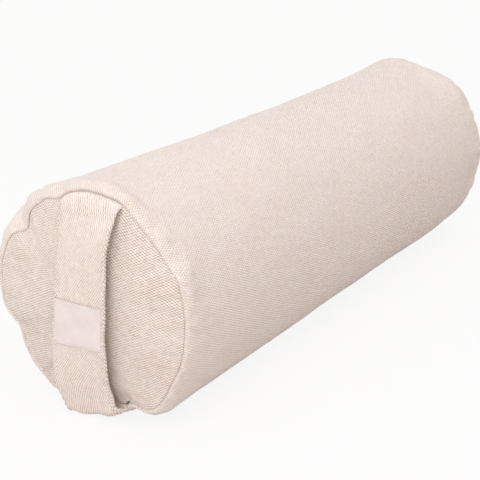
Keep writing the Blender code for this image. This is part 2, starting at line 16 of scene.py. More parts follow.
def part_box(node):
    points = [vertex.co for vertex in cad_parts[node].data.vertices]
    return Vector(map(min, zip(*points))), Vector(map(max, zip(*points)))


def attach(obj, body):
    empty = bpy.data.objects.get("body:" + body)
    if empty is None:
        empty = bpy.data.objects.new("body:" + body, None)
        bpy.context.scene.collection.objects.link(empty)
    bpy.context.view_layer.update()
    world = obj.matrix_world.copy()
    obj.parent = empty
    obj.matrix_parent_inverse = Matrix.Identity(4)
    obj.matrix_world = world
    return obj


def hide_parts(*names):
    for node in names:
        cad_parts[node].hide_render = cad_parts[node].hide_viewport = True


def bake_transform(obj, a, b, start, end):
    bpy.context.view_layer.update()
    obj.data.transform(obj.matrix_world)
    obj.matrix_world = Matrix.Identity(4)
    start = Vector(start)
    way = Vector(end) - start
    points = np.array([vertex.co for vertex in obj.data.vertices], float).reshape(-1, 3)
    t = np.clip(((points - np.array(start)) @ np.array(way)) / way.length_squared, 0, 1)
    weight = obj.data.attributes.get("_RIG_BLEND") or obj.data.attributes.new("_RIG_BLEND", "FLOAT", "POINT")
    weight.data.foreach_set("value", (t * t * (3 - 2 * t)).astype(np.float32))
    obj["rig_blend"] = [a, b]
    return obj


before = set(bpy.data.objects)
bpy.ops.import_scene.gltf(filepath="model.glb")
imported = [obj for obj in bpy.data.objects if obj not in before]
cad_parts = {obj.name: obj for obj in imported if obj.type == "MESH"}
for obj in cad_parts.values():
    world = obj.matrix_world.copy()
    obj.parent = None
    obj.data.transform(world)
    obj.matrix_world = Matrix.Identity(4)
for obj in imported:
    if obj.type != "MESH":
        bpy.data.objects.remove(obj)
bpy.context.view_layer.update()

bl_info = {
    "name": "Round Yoga Bolster",
    "version": (1, 0, 0),
    "blender": (4, 5, 0),
    "location": "3D View > Sidebar > Bolster",
    "description": "Dresses a round yoga bolster in twill, with its strap, label and zip",
    "category": "Object",
}

# Sizes that the solids share
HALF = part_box("cover_body_panel")[1].y  # from the bolster's middle to its end seams
RADIUS = 0.115  # of the body
SEAM_RADIUS = 0.106  # of the stitched line round an end
AXIS_HEIGHT = 0.100  # the underside is pressed flat
SETTLE_BLEND = 0.006  # height over which the side turns into the underside
COVER_WALL = 0.0012
LINER_WALL = 0.0006
LAYER_GAP = 0.0006  # between cover, liner and filling
ALLOWANCE = 0.010  # cloth turned in behind a seam
BODY_LIP = 0.0022  # radius of the body's roll at the end seam
PANEL_LIP = 0.0014  # radius of the panel's roll
SEAM_GAP = 0.0003  # between the two turned-in edges
SEAM_THREAD = 0.00035  # radius of the thread in an end seam
SEAM_THREAD_DEPTH = 0.0017  # how far in from the seam plane it lies
SHOULDER = 0.022  # length over which the body swells to full radius
PANEL_CREST = SEAM_RADIUS - SEAM_GAP / 2 - PANEL_LIP  # where a panel's dome ends and its roll starts
DOME_RISE = 0.012
COVER_RING = 0.0055  # length of the body's faces
STEPS = 216  # round the bolster
TRIAL_STEPS = 144  # round the copy that the cloth simulation blows up
TRIAL_FRAMES = 20
TRIAL_CLOTH = {"quality": 5, "mass": 0.3, "tension_stiffness": 15, "compression_stiffness": 15,
               "shear_stiffness": 6, "bending_stiffness": 0.6, "air_damping": 2, "use_pressure": True,
               "uniform_pressure_force": 4, "vertex_group_mass": "held", "vertex_group_shrink": "taut"}

# Where the real cover departs from a turned shape: (angle, half width in degrees, outwards in metres)
FRONT_SEAM = ((84, 18, 0.0052), (70, 8, 0.0042), (109, 5, -0.0040), (142, 6, -0.0095), (168, 18, 0.0035),
              (203, 8, -0.0108), (216, 12, -0.0092), (238, 14, -0.0100), (27, 6, 0.0030), (16, 12, 0.0020),
              (333, 9, -0.0015), (287.5, 8, -0.0165), (301, 6, -0.0125), (316, 7, 0.0012))
FRONT_BODY = ((148, 14, 0.0035), (203, 12, -0.0090), (228, 18, -0.0090), (294.5, 7.5, -0.0220),
              (303, 6, -0.0090), (320, 14, 0.0010), (86, 20, 0.0010))
FRONT_ROLL = ((140, 15, 0.0072), (118, 12, 0.0025), (92, 14, 0.0012), (163, 14, 0.0042), (318, 16, 0.0015))
REAR_SEAM = ((30, 20, 0.0015), (75, 14, -0.0010), (130, 20, 0.0020), (200, 25, -0.0015), (330, 22, -0.0012),
             (350, 8, -0.0030))
REAR_BODY = ((96, 15, 0.0025), (50, 14, 0.0035), (72, 7, -0.0015), (20, 16, -0.0015), (350, 14, -0.0065),
             (322, 16, -0.0020), (150, 20, 0.0015))
REAR_ROLL = ((96, 16, 0.0062), (55, 22, 0.0078), (318, 16, 0.0010), (180, 30, 0.0015))
FRONT_TUCK = ((138, 12, 0.0035),)  # where the front seam is drawn in along the body
PRESSED_OUT = ((322, 22, 0.0018), (224, 9, 0.0010))  # sides that the flat underside pushes out
FRONT_TILT = (-0.0005, 0.0020, 0.0060)  # how far the front seam leans in: evenly, to +X, to the top
REAR_TILT = (0.0005, -0.0010, 0.0015)
WAIST_SHIFT = 0.045  # how far the waist is from the bolster's middle, along +Y
WAIST_ANGLE = 2.16  # where round the body it is deepest, in radians
END_REACH = 0.075  # how far along the body an end's own shape is felt
FRONT_FLOOR_LIFT = 0.003  # the front seam clears the floor by this much more

# Zip, in the side away from the camera
ZIP_ANGLE = radians(198)
ZIP_HALF = 0.200
SLOT_HALF = 0.0055
HEM_STITCH = 0.0095  # from the zip's line to its row of stitches
HEM_RISE = 0.0005  # of the cloth over its turned-in edge
HEM_DIP = 0.0006  # of the cloth at its fold and under its stitches
SEAM_GROOVE = 0.0011  # depth of the long seam
HEM_SCORES = (0, 0.0005, 0.0012, 0.0022, 0.0032, 0.0037, 0.0043, 0.0052, 0.0070)  # from the slot's edge
SEAM_SCORES = (0.0004, 0.0010, 0.0018)  # from the zip's line, where the long seam runs on in it
ZIP_END = ZIP_HALF + 0.006  # where the stitches cross beyond the slot's end
ZIP_STITCH_PITCH = 0.0034
ZIP_OUT = Vector((cos(ZIP_ANGLE), 0, sin(ZIP_ANGLE)))  # out of the cover at the zip
ZIP_UP = Vector((sin(ZIP_ANGLE), 0, -cos(ZIP_ANGLE)))  # up the cover across the zip

# Strap: pairs of places on its two edges, as (out from the seam plane, height above the axis) of the
# left edge and then of the right, from the upper seam to the lower
STRAP_MIDDLE = 0.006
STRAP_WIDTH = 0.062
STRAP_THICKNESS = 0.0024
STRAP_PLACES = ((0.0000, 0.1000, -0.0040, 0.1030), (0.0045, 0.0860, 0.0085, 0.0860),
                (0.0073, 0.0740, 0.0134, 0.0740), (0.0101, 0.0610, 0.0162, 0.0605),
                (0.0135, 0.0400, 0.0192, 0.0390), (0.0173, 0.0170, 0.0211, 0.0165),
                (0.0206, -0.0070, 0.0225, -0.0070), (0.0234, -0.0280, 0.0222, -0.0270),
                (0.0252, -0.0490, 0.0212, -0.0480), (0.0254, -0.0660, 0.0196, -0.0620),
                (0.0228, -0.0790, 0.0188, -0.0700), (0.0206, -0.0925, 0.0184, -0.0765),
                (0.0183, -0.0972, 0.0160, -0.0830), (0.0120, -0.0976, 0.0100, -0.0865),
                (0.0042, -0.0945, 0.0015, -0.0885))
STRAP_TAIL = 0.014  # length of each end that is caught in the seam
STRAP_SWING = (0.0110, 0.0050)  # how far its left and right edges swing to +X at the floor
STRAP_FLARE = 0.0055  # how much further its right edge swings from there to the seam
STRAP_CURL = 9  # how narrowly its right edge curls up at the floor
STRAP_RISE = 0.0030  # how much higher the right half of its fold lies than the left
STRAP_SCOOP = 0.0040  # how far its fold is pushed in between its two corners
STRAP_BOW = 0.0012  # how far its middle stands out beyond its edges
STRAP_SPLIT = 0.00005  # from the label's middle to each of the strap's two lengths
STRAP_WHIP = 0.0044  # from one turn of the thread over its edges to the next

LABEL_WIDTH = 0.057
LABEL_HEIGHT = 0.041
LABEL_MIDDLE = -0.005
LABEL_TILT = radians(4.5)
LABEL_LIFT = 0.0009  # of the label's edge above the strap's face
LABEL_STITCH = 0.0014  # from the label's upper or lower edge to its stitches
LABEL_STITCH_PITCH = 0.0024
LABEL_STITCHES = 23  # in each of its two rows
LABEL_WALL = 0.0006

WELD = 1e-6  # points closer than this are merged
TINY = 1e-9  # keeps a length from being 0 where it divides


def ease(value):
    """A smooth step from 0 to 1."""
    value = np.clip(value, 0, 1)
    return value * value * (3 - 2 * value)


def hump(value, middle, width):
    """A rounded hump of height 1."""
    return np.exp(-((value - middle) / width) ** 2)


def swell(angle, swells):
    """The sum of rounded swells and dips round the bolster."""
    total = np.zeros_like(angle)
    for middle, width, height in swells:
        away = (angle - radians(middle) + pi) % (2 * pi) - pi
        total += height * hump(away, 0, radians(width))
    return total


def soft_max(value, low, blend):
    """The larger of two values, rounded where they meet."""
    near = np.maximum(blend - np.abs(value - low), 0) / blend
    return np.maximum(value, low) + near * near * blend / 4


def away_from_zip(angle, width):
    """0 along the zip's line, rising to 1 beyond a width in radians."""
    away = (angle - ZIP_ANGLE + pi) % (2 * pi) - pi
    return 1 - hump(away, 0, width)


def lean(angle, tilt):
    """How far an end seam lies in from its plane."""
    even, across, up = tilt
    return even + across * np.cos(angle) + up * np.sin(angle)


def angle_of(points):
    return np.arctan2(points[:, 2], points[:, 0])


def radius_of(points):
    return np.hypot(points[:, 0], points[:, 2])


def shaped(points, depth=0.0):
    """Give turned points the bolster's own uneven shape, and settle them on the floor.

    points are (x, y, z) about the bolster's axis, and depth is how far they lie under the cover's face.
    """
    y, radius, angle = points[:, 1], radius_of(points), angle_of(points)
    front = y < 0
    inside = HALF - np.abs(y)
    turned = np.minimum(radius / SEAM_RADIUS, 1) ** 2

    near_seam = 1 - ease((inside - 0.004) / SHOULDER)
    at_end = 1 - ease((inside - 0.5 * SHOULDER) / END_REACH)
    seam = np.where(front, swell(angle, FRONT_SEAM), swell(angle, REAR_SEAM))
    body = np.where(front, swell(angle, FRONT_BODY), swell(angle, REAR_BODY))
    roll = np.where(front, swell(angle, FRONT_ROLL), swell(angle, REAR_ROLL))
    rolled = ease(inside / 0.008) * (1 - ease((inside - 0.012) / 0.045))
    outwards = at_end * (near_seam * seam + (1 - near_seam) * body) + rolled * roll
    outwards += swell(angle, PRESSED_OUT) * ease((inside - 0.01) / 0.06)

    shape = bpy.context.scene.bolster_shape
    middle = np.maximum(1 - ((y - WAIST_SHIFT) / HALF) ** 2, 0)
    deeper = 0.6 + 0.4 * np.cos(angle - WAIST_ANGLE)
    outwards -= shape.waist * middle * middle * away_from_zip(angle, 0.7) * deeper
    outwards += lumps(angle, y) * away_from_zip(angle, 0.45)
    radius_now = radius + outwards * turned

    leaning = np.where(front, lean(angle, FRONT_TILT), lean(angle, REAR_TILT))
    tuck = swell(angle, FRONT_TUCK) * front
    in_from_end = (leaning + tuck) * turned * (1 - ease(inside / 0.05))
    y_now = y - np.sign(y) * in_from_end

    share = np.minimum((radius + depth) / RADIUS, 1)
    lift = FRONT_FLOOR_LIFT * front * (1 - ease(inside / 0.03))
    z_now = soft_max(radius_now * np.sin(angle), depth - AXIS_HEIGHT * share + lift, SETTLE_BLEND)
    return np.stack([radius_now * np.cos(angle), y_now, z_now + AXIS_HEIGHT], axis=1)


def lumps(angle, y):
    """Long shallow unevenness of the stuffing."""
    size = bpy.context.scene.bolster_shape.lumps
    wave = (np.sin(2 * angle + 9 * y + 0.7) + 0.8 * np.sin(3 * angle - 21 * y + 2.1)
            + 0.6 * np.sin(5 * angle + 33 * y + 4.0) + 0.5 * np.sin(angle + 47 * y))
    return size * wave / 2


class Ripples:
    """Fine ripples of the cover, over its stations and round it, as the cloth simulation leaves them.

    A station is y on the body; on an end panel it goes on from there towards the panel's middle.
    """

    def __init__(self, stations, field):
        self.stations = stations
        self.field = field

    def at(self, station, angle):
        """Ripple height at places on the cover, by cubic interpolation."""
        rows, steps = self.field.shape
        row = np.interp(station, self.stations, np.arange(rows))
        column = (angle % (2 * pi)) / (2 * pi) * steps
        total = np.zeros_like(row)
        for i, row_share in enumerate(cubic_shares(row % 1)):
            for j, column_share in enumerate(cubic_shares(column % 1)):
                near_row = np.clip(row.astype(int) + i - 1, 0, rows - 1)
                near_column = (column.astype(int) + j - 1) % steps
                total += row_share * column_share * self.field[near_row, near_column]
        return total


def cubic_shares(t):
    """Shares of four neighbours in a cubic interpolation."""
    return (-0.5 * t + t * t - 0.5 * t ** 3, 1 - 2.5 * t * t + 1.5 * t ** 3,
            0.5 * t + 2 * t * t - 1.5 * t ** 3, -0.5 * t * t + 0.5 * t ** 3)


def mirrored(line):
    """A line of one half, run back along the other."""
    return [(-y, r) for y, r in line[::-1]]


def quarter_arc(start, end, first_outwards, steps):
    """Points of a quarter ellipse from start to end, beyond start itself."""
    points = []
    for step in range(1, steps + 1):
        turn = step / steps * pi / 2
        early, late = sin(turn), 1 - cos(turn)
        along, out = (late, early) if first_outwards else (early, late)
        points.append((start[0] + (end[0] - start[0]) * along, start[1] + (end[1] - start[1]) * out))
    return points


def body_end():
    """Profile of the body at one end as (distance in from the seam plane, radius)."""
    seam = SEAM_RADIUS + SEAM_GAP / 2
    points = [(ALLOWANCE + BODY_LIP, seam), (BODY_LIP * 1.6, seam), (BODY_LIP, seam)]
    rim = (0, seam + BODY_LIP)
    points += quarter_arc((BODY_LIP, seam), rim, False, 5)
    points += quarter_arc(rim, (SHOULDER, RADIUS), True, 9)
    return points


def panel_profile():
    """Profile of an end panel as (distance in from the seam plane, radius), from its middle."""
    edge = SEAM_RADIUS - SEAM_GAP / 2
    rings = 26
    points = [(-dome(r), r) for r in (PANEL_CREST * (i / rings) for i in range(rings + 1))]
    points += quarter_arc(points[-1], (PANEL_LIP, edge), True, 4)
    points += [(PANEL_LIP * 1.6, edge), (ALLOWANCE + PANEL_LIP, edge)]
    return points


def travelled(line):
    """Distance along a line of points to each of them."""
    return np.concatenate([[0], np.cumsum([hypot(b[0] - a[0], b[1] - a[1]) for a, b in zip(line, line[1:])])])


def run_length(line):
    return float(travelled(line)[-1])


def dome(radius):
    """How far an end panel stands out beyond the seam plane."""
    return DOME_RISE * (1 - (radius / PANEL_CREST) ** 2.2)


def revolve(profile, steps=STEPS):
    """Spin (y, radius) points about the bolster's axis, keeping each one's distance along the profile."""
    bm = bmesh.new()
    layer = bm.verts.layers.float.new("along")
    verts = []
    for (y, radius), distance in zip(profile, travelled(profile)):
        vert = bm.verts.new((radius, y, 0))
        vert[layer] = distance
        verts.append(vert)
    edges = [bm.edges.new(pair) for pair in zip(verts, verts[1:])]
    bmesh.ops.spin(bm, geom=verts + edges, axis=(0, 1, 0), cent=(0, 0, 0), angle=2 * pi, steps=steps,
                   use_merge=True)
    bmesh.ops.remove_doubles(bm, verts=bm.verts, dist=WELD)
    bmesh.ops.recalc_face_normals(bm, faces=bm.faces)
    if sum(face.normal.dot(face.calc_center_median()) for face in bm.faces) < 0:
        bmesh.ops.reverse_faces(bm, faces=bm.faces)
    return bm


def in_fixed_order(bm):
    """The same form built afresh: spin's order of faces varies, and the cloth solver follows it."""
    copy = bmesh.new()
    along, layer = bm.verts.layers.float["along"], copy.verts.layers.float.new("along")
    verts = []
    for vert in bm.verts:
        verts.append(copy.verts.new(vert.co))
        verts[-1][layer] = vert[along]
    bm.verts.index_update()
    faces = []
    for face in bm.faces:
        corners = [vert.index for vert in face.verts]
        first = corners.index(min(corners))
        faces.append(corners[first:] + corners[:first])
    for corners in sorted(faces):
        copy.faces.new([verts[index] for index in corners])
    bm.free()
    return copy


def to_object(name, bm):
    """Link a bmesh as a smooth-shaded object at the origin."""
    mesh = bpy.data.meshes.new(name)
    bm.to_mesh(mesh)
    bm.free()
    mesh.shade_smooth()
    obj = bpy.data.objects.new(name, mesh)
    bpy.context.scene.collection.objects.link(obj)
    return obj


def read(items, name, kind, width=1):
    """One property of all a mesh's vertices, corners or faces."""
    values = np.empty(len(items) * width, kind)
    items.foreach_get(name, values)
    return values


def read_points(mesh):
    return read(mesh.vertices, "co", float, 3).reshape(-1, 3)


def write_points(mesh, points):
    mesh.vertices.foreach_set("co", points.astype(np.float32).ravel())
    mesh.update()


def read_along(mesh):
    return read(mesh.attributes["along"].data, "value", np.float32).astype(float)


def corner_vertices(mesh):
    return read(mesh.loops, "vertex_index", np.int32)


def lay_cloth(mesh, across, along):
    """Give each face corner its place on the flat cloth, in metres."""
    layer = mesh.uv_layers.new(name="cloth")
    flat = np.stack([across, along], axis=1).astype(np.float32)
    layer.data.foreach_set("uv", flat.ravel())


def lay_round(mesh, points, along):
    """Cloth wrapped round the bolster: its length runs along Y, and its edges meet at the zip's line."""
    corners = corner_vertices(mesh)
    at_corners = points[corners]
    starts = read(mesh.polygons, "loop_start", np.int32)
    totals = read(mesh.polygons, "loop_total", np.int32)
    middle = angle_of(np.add.reduceat(at_corners, starts))
    middle = np.repeat(ZIP_ANGLE - (ZIP_ANGLE - middle) % (2 * pi), totals)
    angle = middle + (angle_of(at_corners) - middle + pi) % (2 * pi) - pi
    lay_cloth(mesh, angle * RADIUS, along[corners])


def lay_disc(mesh, points, along):
    """Cloth of a round end panel: its length runs across, along X."""
    corners = corner_vertices(mesh)
    angle, reach = angle_of(points)[corners], along[corners]
    lay_cloth(mesh, reach * np.sin(angle), reach * np.cos(angle))


def add_wall(obj, thickness):
    """Give cloth its thickness, grown inwards."""
    wall = obj.modifiers.new("wall", "SOLIDIFY")
    wall.thickness = thickness
    wall.offset = -1
    wall.use_even_offset = True
    wall.use_quality_normals = True


# Cover

def cover_profile():
    """Profile of the whole tube, with rings at the zip's ends, as (y, radius)."""
    front = [(-HALF + inside, radius) for inside, radius in body_end()]
    start = -HALF + SHOULDER
    runs = ((start, -ZIP_HALF), (-ZIP_HALF, ZIP_HALF), (ZIP_HALF, -start))
    sides = []
    for low, high in runs:
        count = round((high - low) / COVER_RING)
        sides += [(low + (high - low) * i / count, RADIUS) for i in range(1, count + 1)]
    return front + sides[:-1] + mirrored(front)


def hem(offset):
    """Height of the folded hem at a distance from the zip's line."""
    pad = HEM_RISE * ease((offset - SLOT_HALF) / 0.0012) * (1 - ease((offset - HEM_STITCH - 0.001) / 0.004))
    return pad - HEM_DIP * (hump(offset, SLOT_HALF, 0.0005) + hump(offset, HEM_STITCH, 0.0006))


def long_seam(offset):
    """Height of the seam that closes the tube beyond the zip, over its two allowances."""
    return HEM_RISE * hump(offset, 0.0035, 0.0030) - SEAM_GROOVE * hump(offset, 0, 0.0007)


def cut_zip_opening(bm):
    """Score the cloth along the zip's hems and the long seam, then open the slot."""
    def near_zip(least_out, reach):
        middles = ((face, face.calc_center_median()) for face in bm.faces)
        return [(face, middle) for face, middle in middles
                if middle.dot(ZIP_OUT) > least_out and abs(middle.dot(ZIP_UP)) < reach]

    scores = [SLOT_HALF + gap for gap in HEM_SCORES] + list(SEAM_SCORES)
    for offset in [0.0] + [side * score for side in (-1, 1) for score in scores]:
        faces = [face for face, middle in near_zip(0.864 * RADIUS, 4 * SLOT_HALF)]
        edges = {edge for face in faces for edge in face.edges}
        verts = {vert for face in faces for vert in face.verts}
        bmesh.ops.bisect_plane(bm, geom=faces + list(edges) + list(verts), plane_co=ZIP_UP * offset,
                               plane_no=ZIP_UP, dist=WELD)
    gone = [face for face, middle in near_zip(0, SLOT_HALF) if abs(middle.y) < ZIP_HALF]
    bmesh.ops.delete(bm, geom=gone, context="FACES")


def make_cover_body(ripples):
    bm = revolve(cover_profile())
    cut_zip_opening(bm)
    obj = to_object("cover_body", bm)
    mesh = obj.data
    turned, along = read_points(mesh), read_along(mesh)
    lay_round(mesh, turned, along)
    points, angle = shaped(turned), angle_of(turned)
    offset = np.abs(turned[:, 0] * sin(ZIP_ANGLE) - turned[:, 2] * cos(ZIP_ANGLE))
    near = (turned[:, 0] * cos(ZIP_ANGLE) + turned[:, 2] * sin(ZIP_ANGLE)) > 0
    beside = near * (1 - ease((np.abs(turned[:, 1]) - ZIP_HALF - 0.002) / 0.006))
    rise = ripples.at(turned[:, 1], angle) * away_from_zip(angle, 0.3)
    rise += hem(offset) * beside + long_seam(offset) * (near - beside) + seam_puckers(angle, turned[:, 1])
    push_out(points, turned, rise)
    write_points(mesh, points)
    add_wall(obj, COVER_WALL)
    return obj


def make_seam_thread(name, side):
    """The thread at the bottom of an end seam."""
    middle = (side * (HALF - SEAM_THREAD_DEPTH), SEAM_RADIUS + SEAM_GAP / 2)
    turns = [2 * pi * i / 8 for i in range(9)]
    profile = [(middle[0] + SEAM_THREAD * cos(turn), middle[1] + SEAM_THREAD * sin(turn)) for turn in turns]
    obj = to_object(name, revolve(profile))
    write_points(obj.data, shaped(read_points(obj.data)))
    return obj


def push_out(points, turned, rise):
    """Move points away from the bolster's axis by their own distances."""
    radius = np.maximum(radius_of(turned), TINY)
    points[:, 0] += rise * turned[:, 0] / radius
    lifted = points[:, 2] + rise * turned[:, 2] / radius
    points[:, 2] = np.where(points[:, 2] > SETTLE_BLEND, lifted, np.maximum(lifted, points[:, 2]))


def seam_puckers(angle, y):
    """Small gathers where the body's cloth is eased into an end seam."""
    inside = HALF - np.abs(y)
    size = bpy.context.scene.bolster_shape.puckers
    near = hump(inside, 0.006, 0.011)
    side = np.where(y < 0, 0.0, 1.7)
    gathers = (np.sin(37 * angle + side + 2.2 * np.sin(3 * angle)) + 0.7 * np.sin(58 * angle + 2 * side)
               + 0.5 * np.sin(91 * angle + 1.3 * np.sin(5 * angle + side)))
    strength = 0.45 + 0.55 * np.sin(4 * angle + 2.5 + side) * np.sin(7 * angle + 0.4)
    return size * near * gathers * np.maximum(strength, 0.1) / 2


def make_panel(name, side, ripples):
    profile = [(side * (HALF - inside), radius) for inside, radius in panel_profile()]
    obj = to_object(name, revolve(profile))
    mesh = obj.data
    turned, along = read_points(mesh), read_along(mesh)
    lay_disc(mesh, turned, along)
    points = shaped(turned)
    reach = np.maximum(SEAM_RADIUS - radius_of(turned), 0)
    points[:, 1] += side * ripples.at(side * (HALF + reach), angle_of(turned))
    if side < 0:
        points = make_room_for_strap(points, turned)
    write_points(mesh, points)
    add_wall(obj, COVER_WALL)
    return obj


def make_room_for_strap(points, turned):
    """Draw the front panel's edge in where the strap is caught in the seam."""
    radius = radius_of(turned)
    left, right = STRAP_SWING[0], STRAP_SWING[1] + STRAP_FLARE
    low = turned[:, 2] < 0
    middle = STRAP_MIDDLE + low * (left + right) / 2
    half = STRAP_WIDTH / 2 - low * (left - right) / 2
    beside = 1 - ease((np.abs(points[:, 0] - middle) - half + 0.0006) / 0.0020)
    at_edge = ease((radius - 0.8 * SEAM_RADIUS) / (0.18 * SEAM_RADIUS))
    drop = (STRAP_THICKNESS + 2 * SEAM_GAP) * beside * at_edge
    points[:, 2] -= drop * np.sign(turned[:, 2]) * (np.abs(turned[:, 2]) > 0.5 * SEAM_RADIUS)
    return points


def trial_profile():
    """Profile of a plain closed cover as (y, radius), with the station of each ring."""
    panel = [(HALF + dome(r), r, HALF + SEAM_RADIUS - r)
             for r in (SEAM_RADIUS * i / 16 for i in range(16))]
    arc = [(0, SEAM_RADIUS)] + quarter_arc((0, SEAM_RADIUS), (SHOULDER, RADIUS), True, 4)
    shoulder = [(HALF - inside, r, HALF - inside) for inside, r in arc]
    straight, ended = HALF - SHOULDER, HALF - SHOULDER - END_REACH
    levels = [straight - END_REACH * i / 12 for i in range(1, 13)]
    levels += [ended * (20 - i) / 20 for i in range(1, 20)]
    side = [(y, RADIUS, y) for y in levels]
    rear = panel + shoulder + side
    front = [(-y, r, -station) for y, r, station in rear]
    rings = front + [(0, RADIUS, 0)] + rear[::-1]
    return [(y, r) for y, r, station in rings], np.array([station for y, r, station in rings])


def unrest(angle, y):
    """A slight unevenness, so that spare cloth has somewhere to start folding."""
    wave = np.sin(17 * angle + 40 * y) + np.sin(29 * angle - 70 * y + 1) + np.sin(43 * angle + 110 * y)
    return 0.0012 * wave


def simulate_ripples():
    """Blow up a coarse closed cover that has spare cloth beside its seams, and keep its ripples."""
    profile, stations = trial_profile()
    obj = to_object("ripple_trial", in_fixed_order(revolve(profile, TRIAL_STEPS)))
    mesh = obj.data
    start, along = read_points(mesh), read_along(mesh)
    ring = np.rint(np.interp(along, travelled(profile), np.arange(len(profile)))).astype(int)
    station = stations[ring]
    held, taut = obj.vertex_groups.new(name="held"), obj.vertex_groups.new(name="taut")
    from_seam = np.abs(np.abs(station) - HALF)
    angle = angle_of(start)
    unevenly = 0.55 + 0.25 * np.sin(3 * angle + 0.8) + 0.2 * np.sin(7 * angle + station * 9)
    spare = hump(from_seam, 0, 0.030) * unevenly
    for index in range(len(start)):
        if from_seam[index] < WELD:
            held.add([index], 1.0, "REPLACE")
        taut.add([index], 1 - float(np.clip(spare[index], 0, 1)), "REPLACE")
    write_points(mesh, start * (1 + unrest(angle, start[:, 1]))[:, None] * (1, 0, 1) + start * (0, 1, 0))
    cloth = obj.modifiers.new("cloth", "CLOTH")
    scene = bpy.context.scene
    for name, value in TRIAL_CLOTH.items():
        setattr(cloth.settings, name, value)
    cloth.settings.effector_weights.gravity = 0
    cloth.settings.shrink_min = -scene.bolster_shape.spare
    for number in range(1, TRIAL_FRAMES + 1):
        scene.frame_set(number)
    after = read_points(obj.evaluated_get(bpy.context.evaluated_depsgraph_get()).data)
    scene.frame_set(1)
    bpy.data.objects.remove(obj)

    moved = after - start
    radius = np.maximum(radius_of(start), TINY)
    outwards = (moved[:, 0] * start[:, 0] + moved[:, 2] * start[:, 2]) / radius
    outwards = np.where(np.abs(station) > HALF, moved[:, 1] * np.sign(start[:, 1]), outwards)
    step = np.rint((angle % (2 * pi)) / (2 * pi) * TRIAL_STEPS).astype(int) % TRIAL_STEPS
    field = np.zeros((len(profile), TRIAL_STEPS))
    field[ring, step] = outwards
    waves = np.fft.rfft(field, axis=1)
    waves[:, :6] = 0
    field = np.fft.irfft(waves, TRIAL_STEPS, axis=1)
    cap = scene.bolster_shape.ripple_cap
    return Ripples(stations, np.clip(field, -cap, cap))


# Liner and filling

def layer_profile(depth, seam):
    """Closed outline of a layer inside the cover, as (y, radius) from pole to pole.

    depth is how far it lies under the cover's face, and seam how far in its own end seam is.
    """
    crest = SEAM_RADIUS - 0.010
    rings = 18
    panel = [(HALF + dome(r) - depth - 0.004 * (r / crest) ** 4, r)
             for r in (crest * i / rings for i in range(rings + 1))]
    edge = SEAM_RADIUS - 0.001 - depth / 2
    panel += [(HALF - y, r) for y, r in quarter_arc((HALF - panel[-1][0], crest), (seam, edge), True, 6)]
    full = (seam + SHOULDER, RADIUS - depth)
    side = [(HALF - inside, r) for inside, r in quarter_arc((seam, edge), full, True, 8)]
    return panel, side


def straight_side(start, count, depth):
    """Points of a layer's side between its two shoulders."""
    return [(start - 2 * start * i / count, RADIUS - depth) for i in range(1, count)]


def make_liner(depth):
    """The liner's body and its two end panels."""
    panel, side = layer_profile(depth, ALLOWANCE + BODY_LIP + 0.004)
    seam_y, seam_radius = panel[-1]
    half = [(seam_y - 0.006, seam_radius), (seam_y, seam_radius)] + side
    body_line = half + straight_side(side[-1][0], 60, depth) + mirrored(half)
    panel.append((seam_y - 0.005, seam_radius - 0.0002))
    pieces = []
    lines = (("liner_body", body_line, lay_round), ("liner_front", mirrored(panel)[::-1], lay_disc),
             ("liner_rear", panel, lay_disc))
    for name, line, lay in lines:
        if lay is lay_disc:
            line = [(y, max(r - 0.0004, 0)) for y, r in line]
        obj = to_object(name, revolve(line, 144))
        turned, along = read_points(obj.data), read_along(obj.data)
        lay(obj.data, turned, along)
        write_points(obj.data, shaped(turned, depth))
        add_wall(obj, LINER_WALL)
        pieces.append(obj)
    return pieces


def make_filling(depth):
    """The kapok, one soft closed mass with a lumpy face."""
    panel, side = layer_profile(depth, ALLOWANCE + BODY_LIP + 0.008)
    rear = panel + side
    obj = to_object("kapok_mass", revolve(rear + straight_side(side[-1][0], 90, depth) + mirrored(rear), 160))
    turned = read_points(obj.data)
    angle = angle_of(turned)
    tufts = np.sin(23 * angle + 60 * turned[:, 1]) * np.sin(17 * angle - 95 * turned[:, 1] + 2)
    tufts += 0.6 * np.sin(41 * angle + 140 * turned[:, 1]) * np.sin(31 * angle - 170 * turned[:, 1])
    shrink = 1 - 0.0035 * (1 + tufts / 1.6)
    turned[:, 0] *= shrink
    turned[:, 2] *= shrink
    write_points(obj.data, shaped(turned, depth))
    return obj


# Zip

def zip_place(across, y, out):
    """A place beside the zip, from its line: across up the side, along y, and out of the cover."""
    face = sqrt(RADIUS ** 2 - across ** 2) + out
    return Vector((face * cos(ZIP_ANGLE) + across * sin(ZIP_ANGLE), y,
                   AXIS_HEIGHT + face * sin(ZIP_ANGLE) - across * cos(ZIP_ANGLE)))


def sew(name, stitches, length, width):
    """A row of thread stitches, each from (place, direction along it, direction out of the cloth)."""
    bm = bmesh.new()
    for place, along, out in stitches:
        along = along.normalized()
        out = (out - along * out.dot(along)).normalized()
        side = along.cross(out)
        turn = Matrix((side, along, out)).transposed().to_4x4()
        size = Matrix.Diagonal((width / 2, length / 2, width * 0.4, 1))
        bmesh.ops.create_uvsphere(bm, u_segments=8, v_segments=5, radius=1,
                                  matrix=Matrix.Translation(place) @ turn @ size)
    return to_object(name, bm)


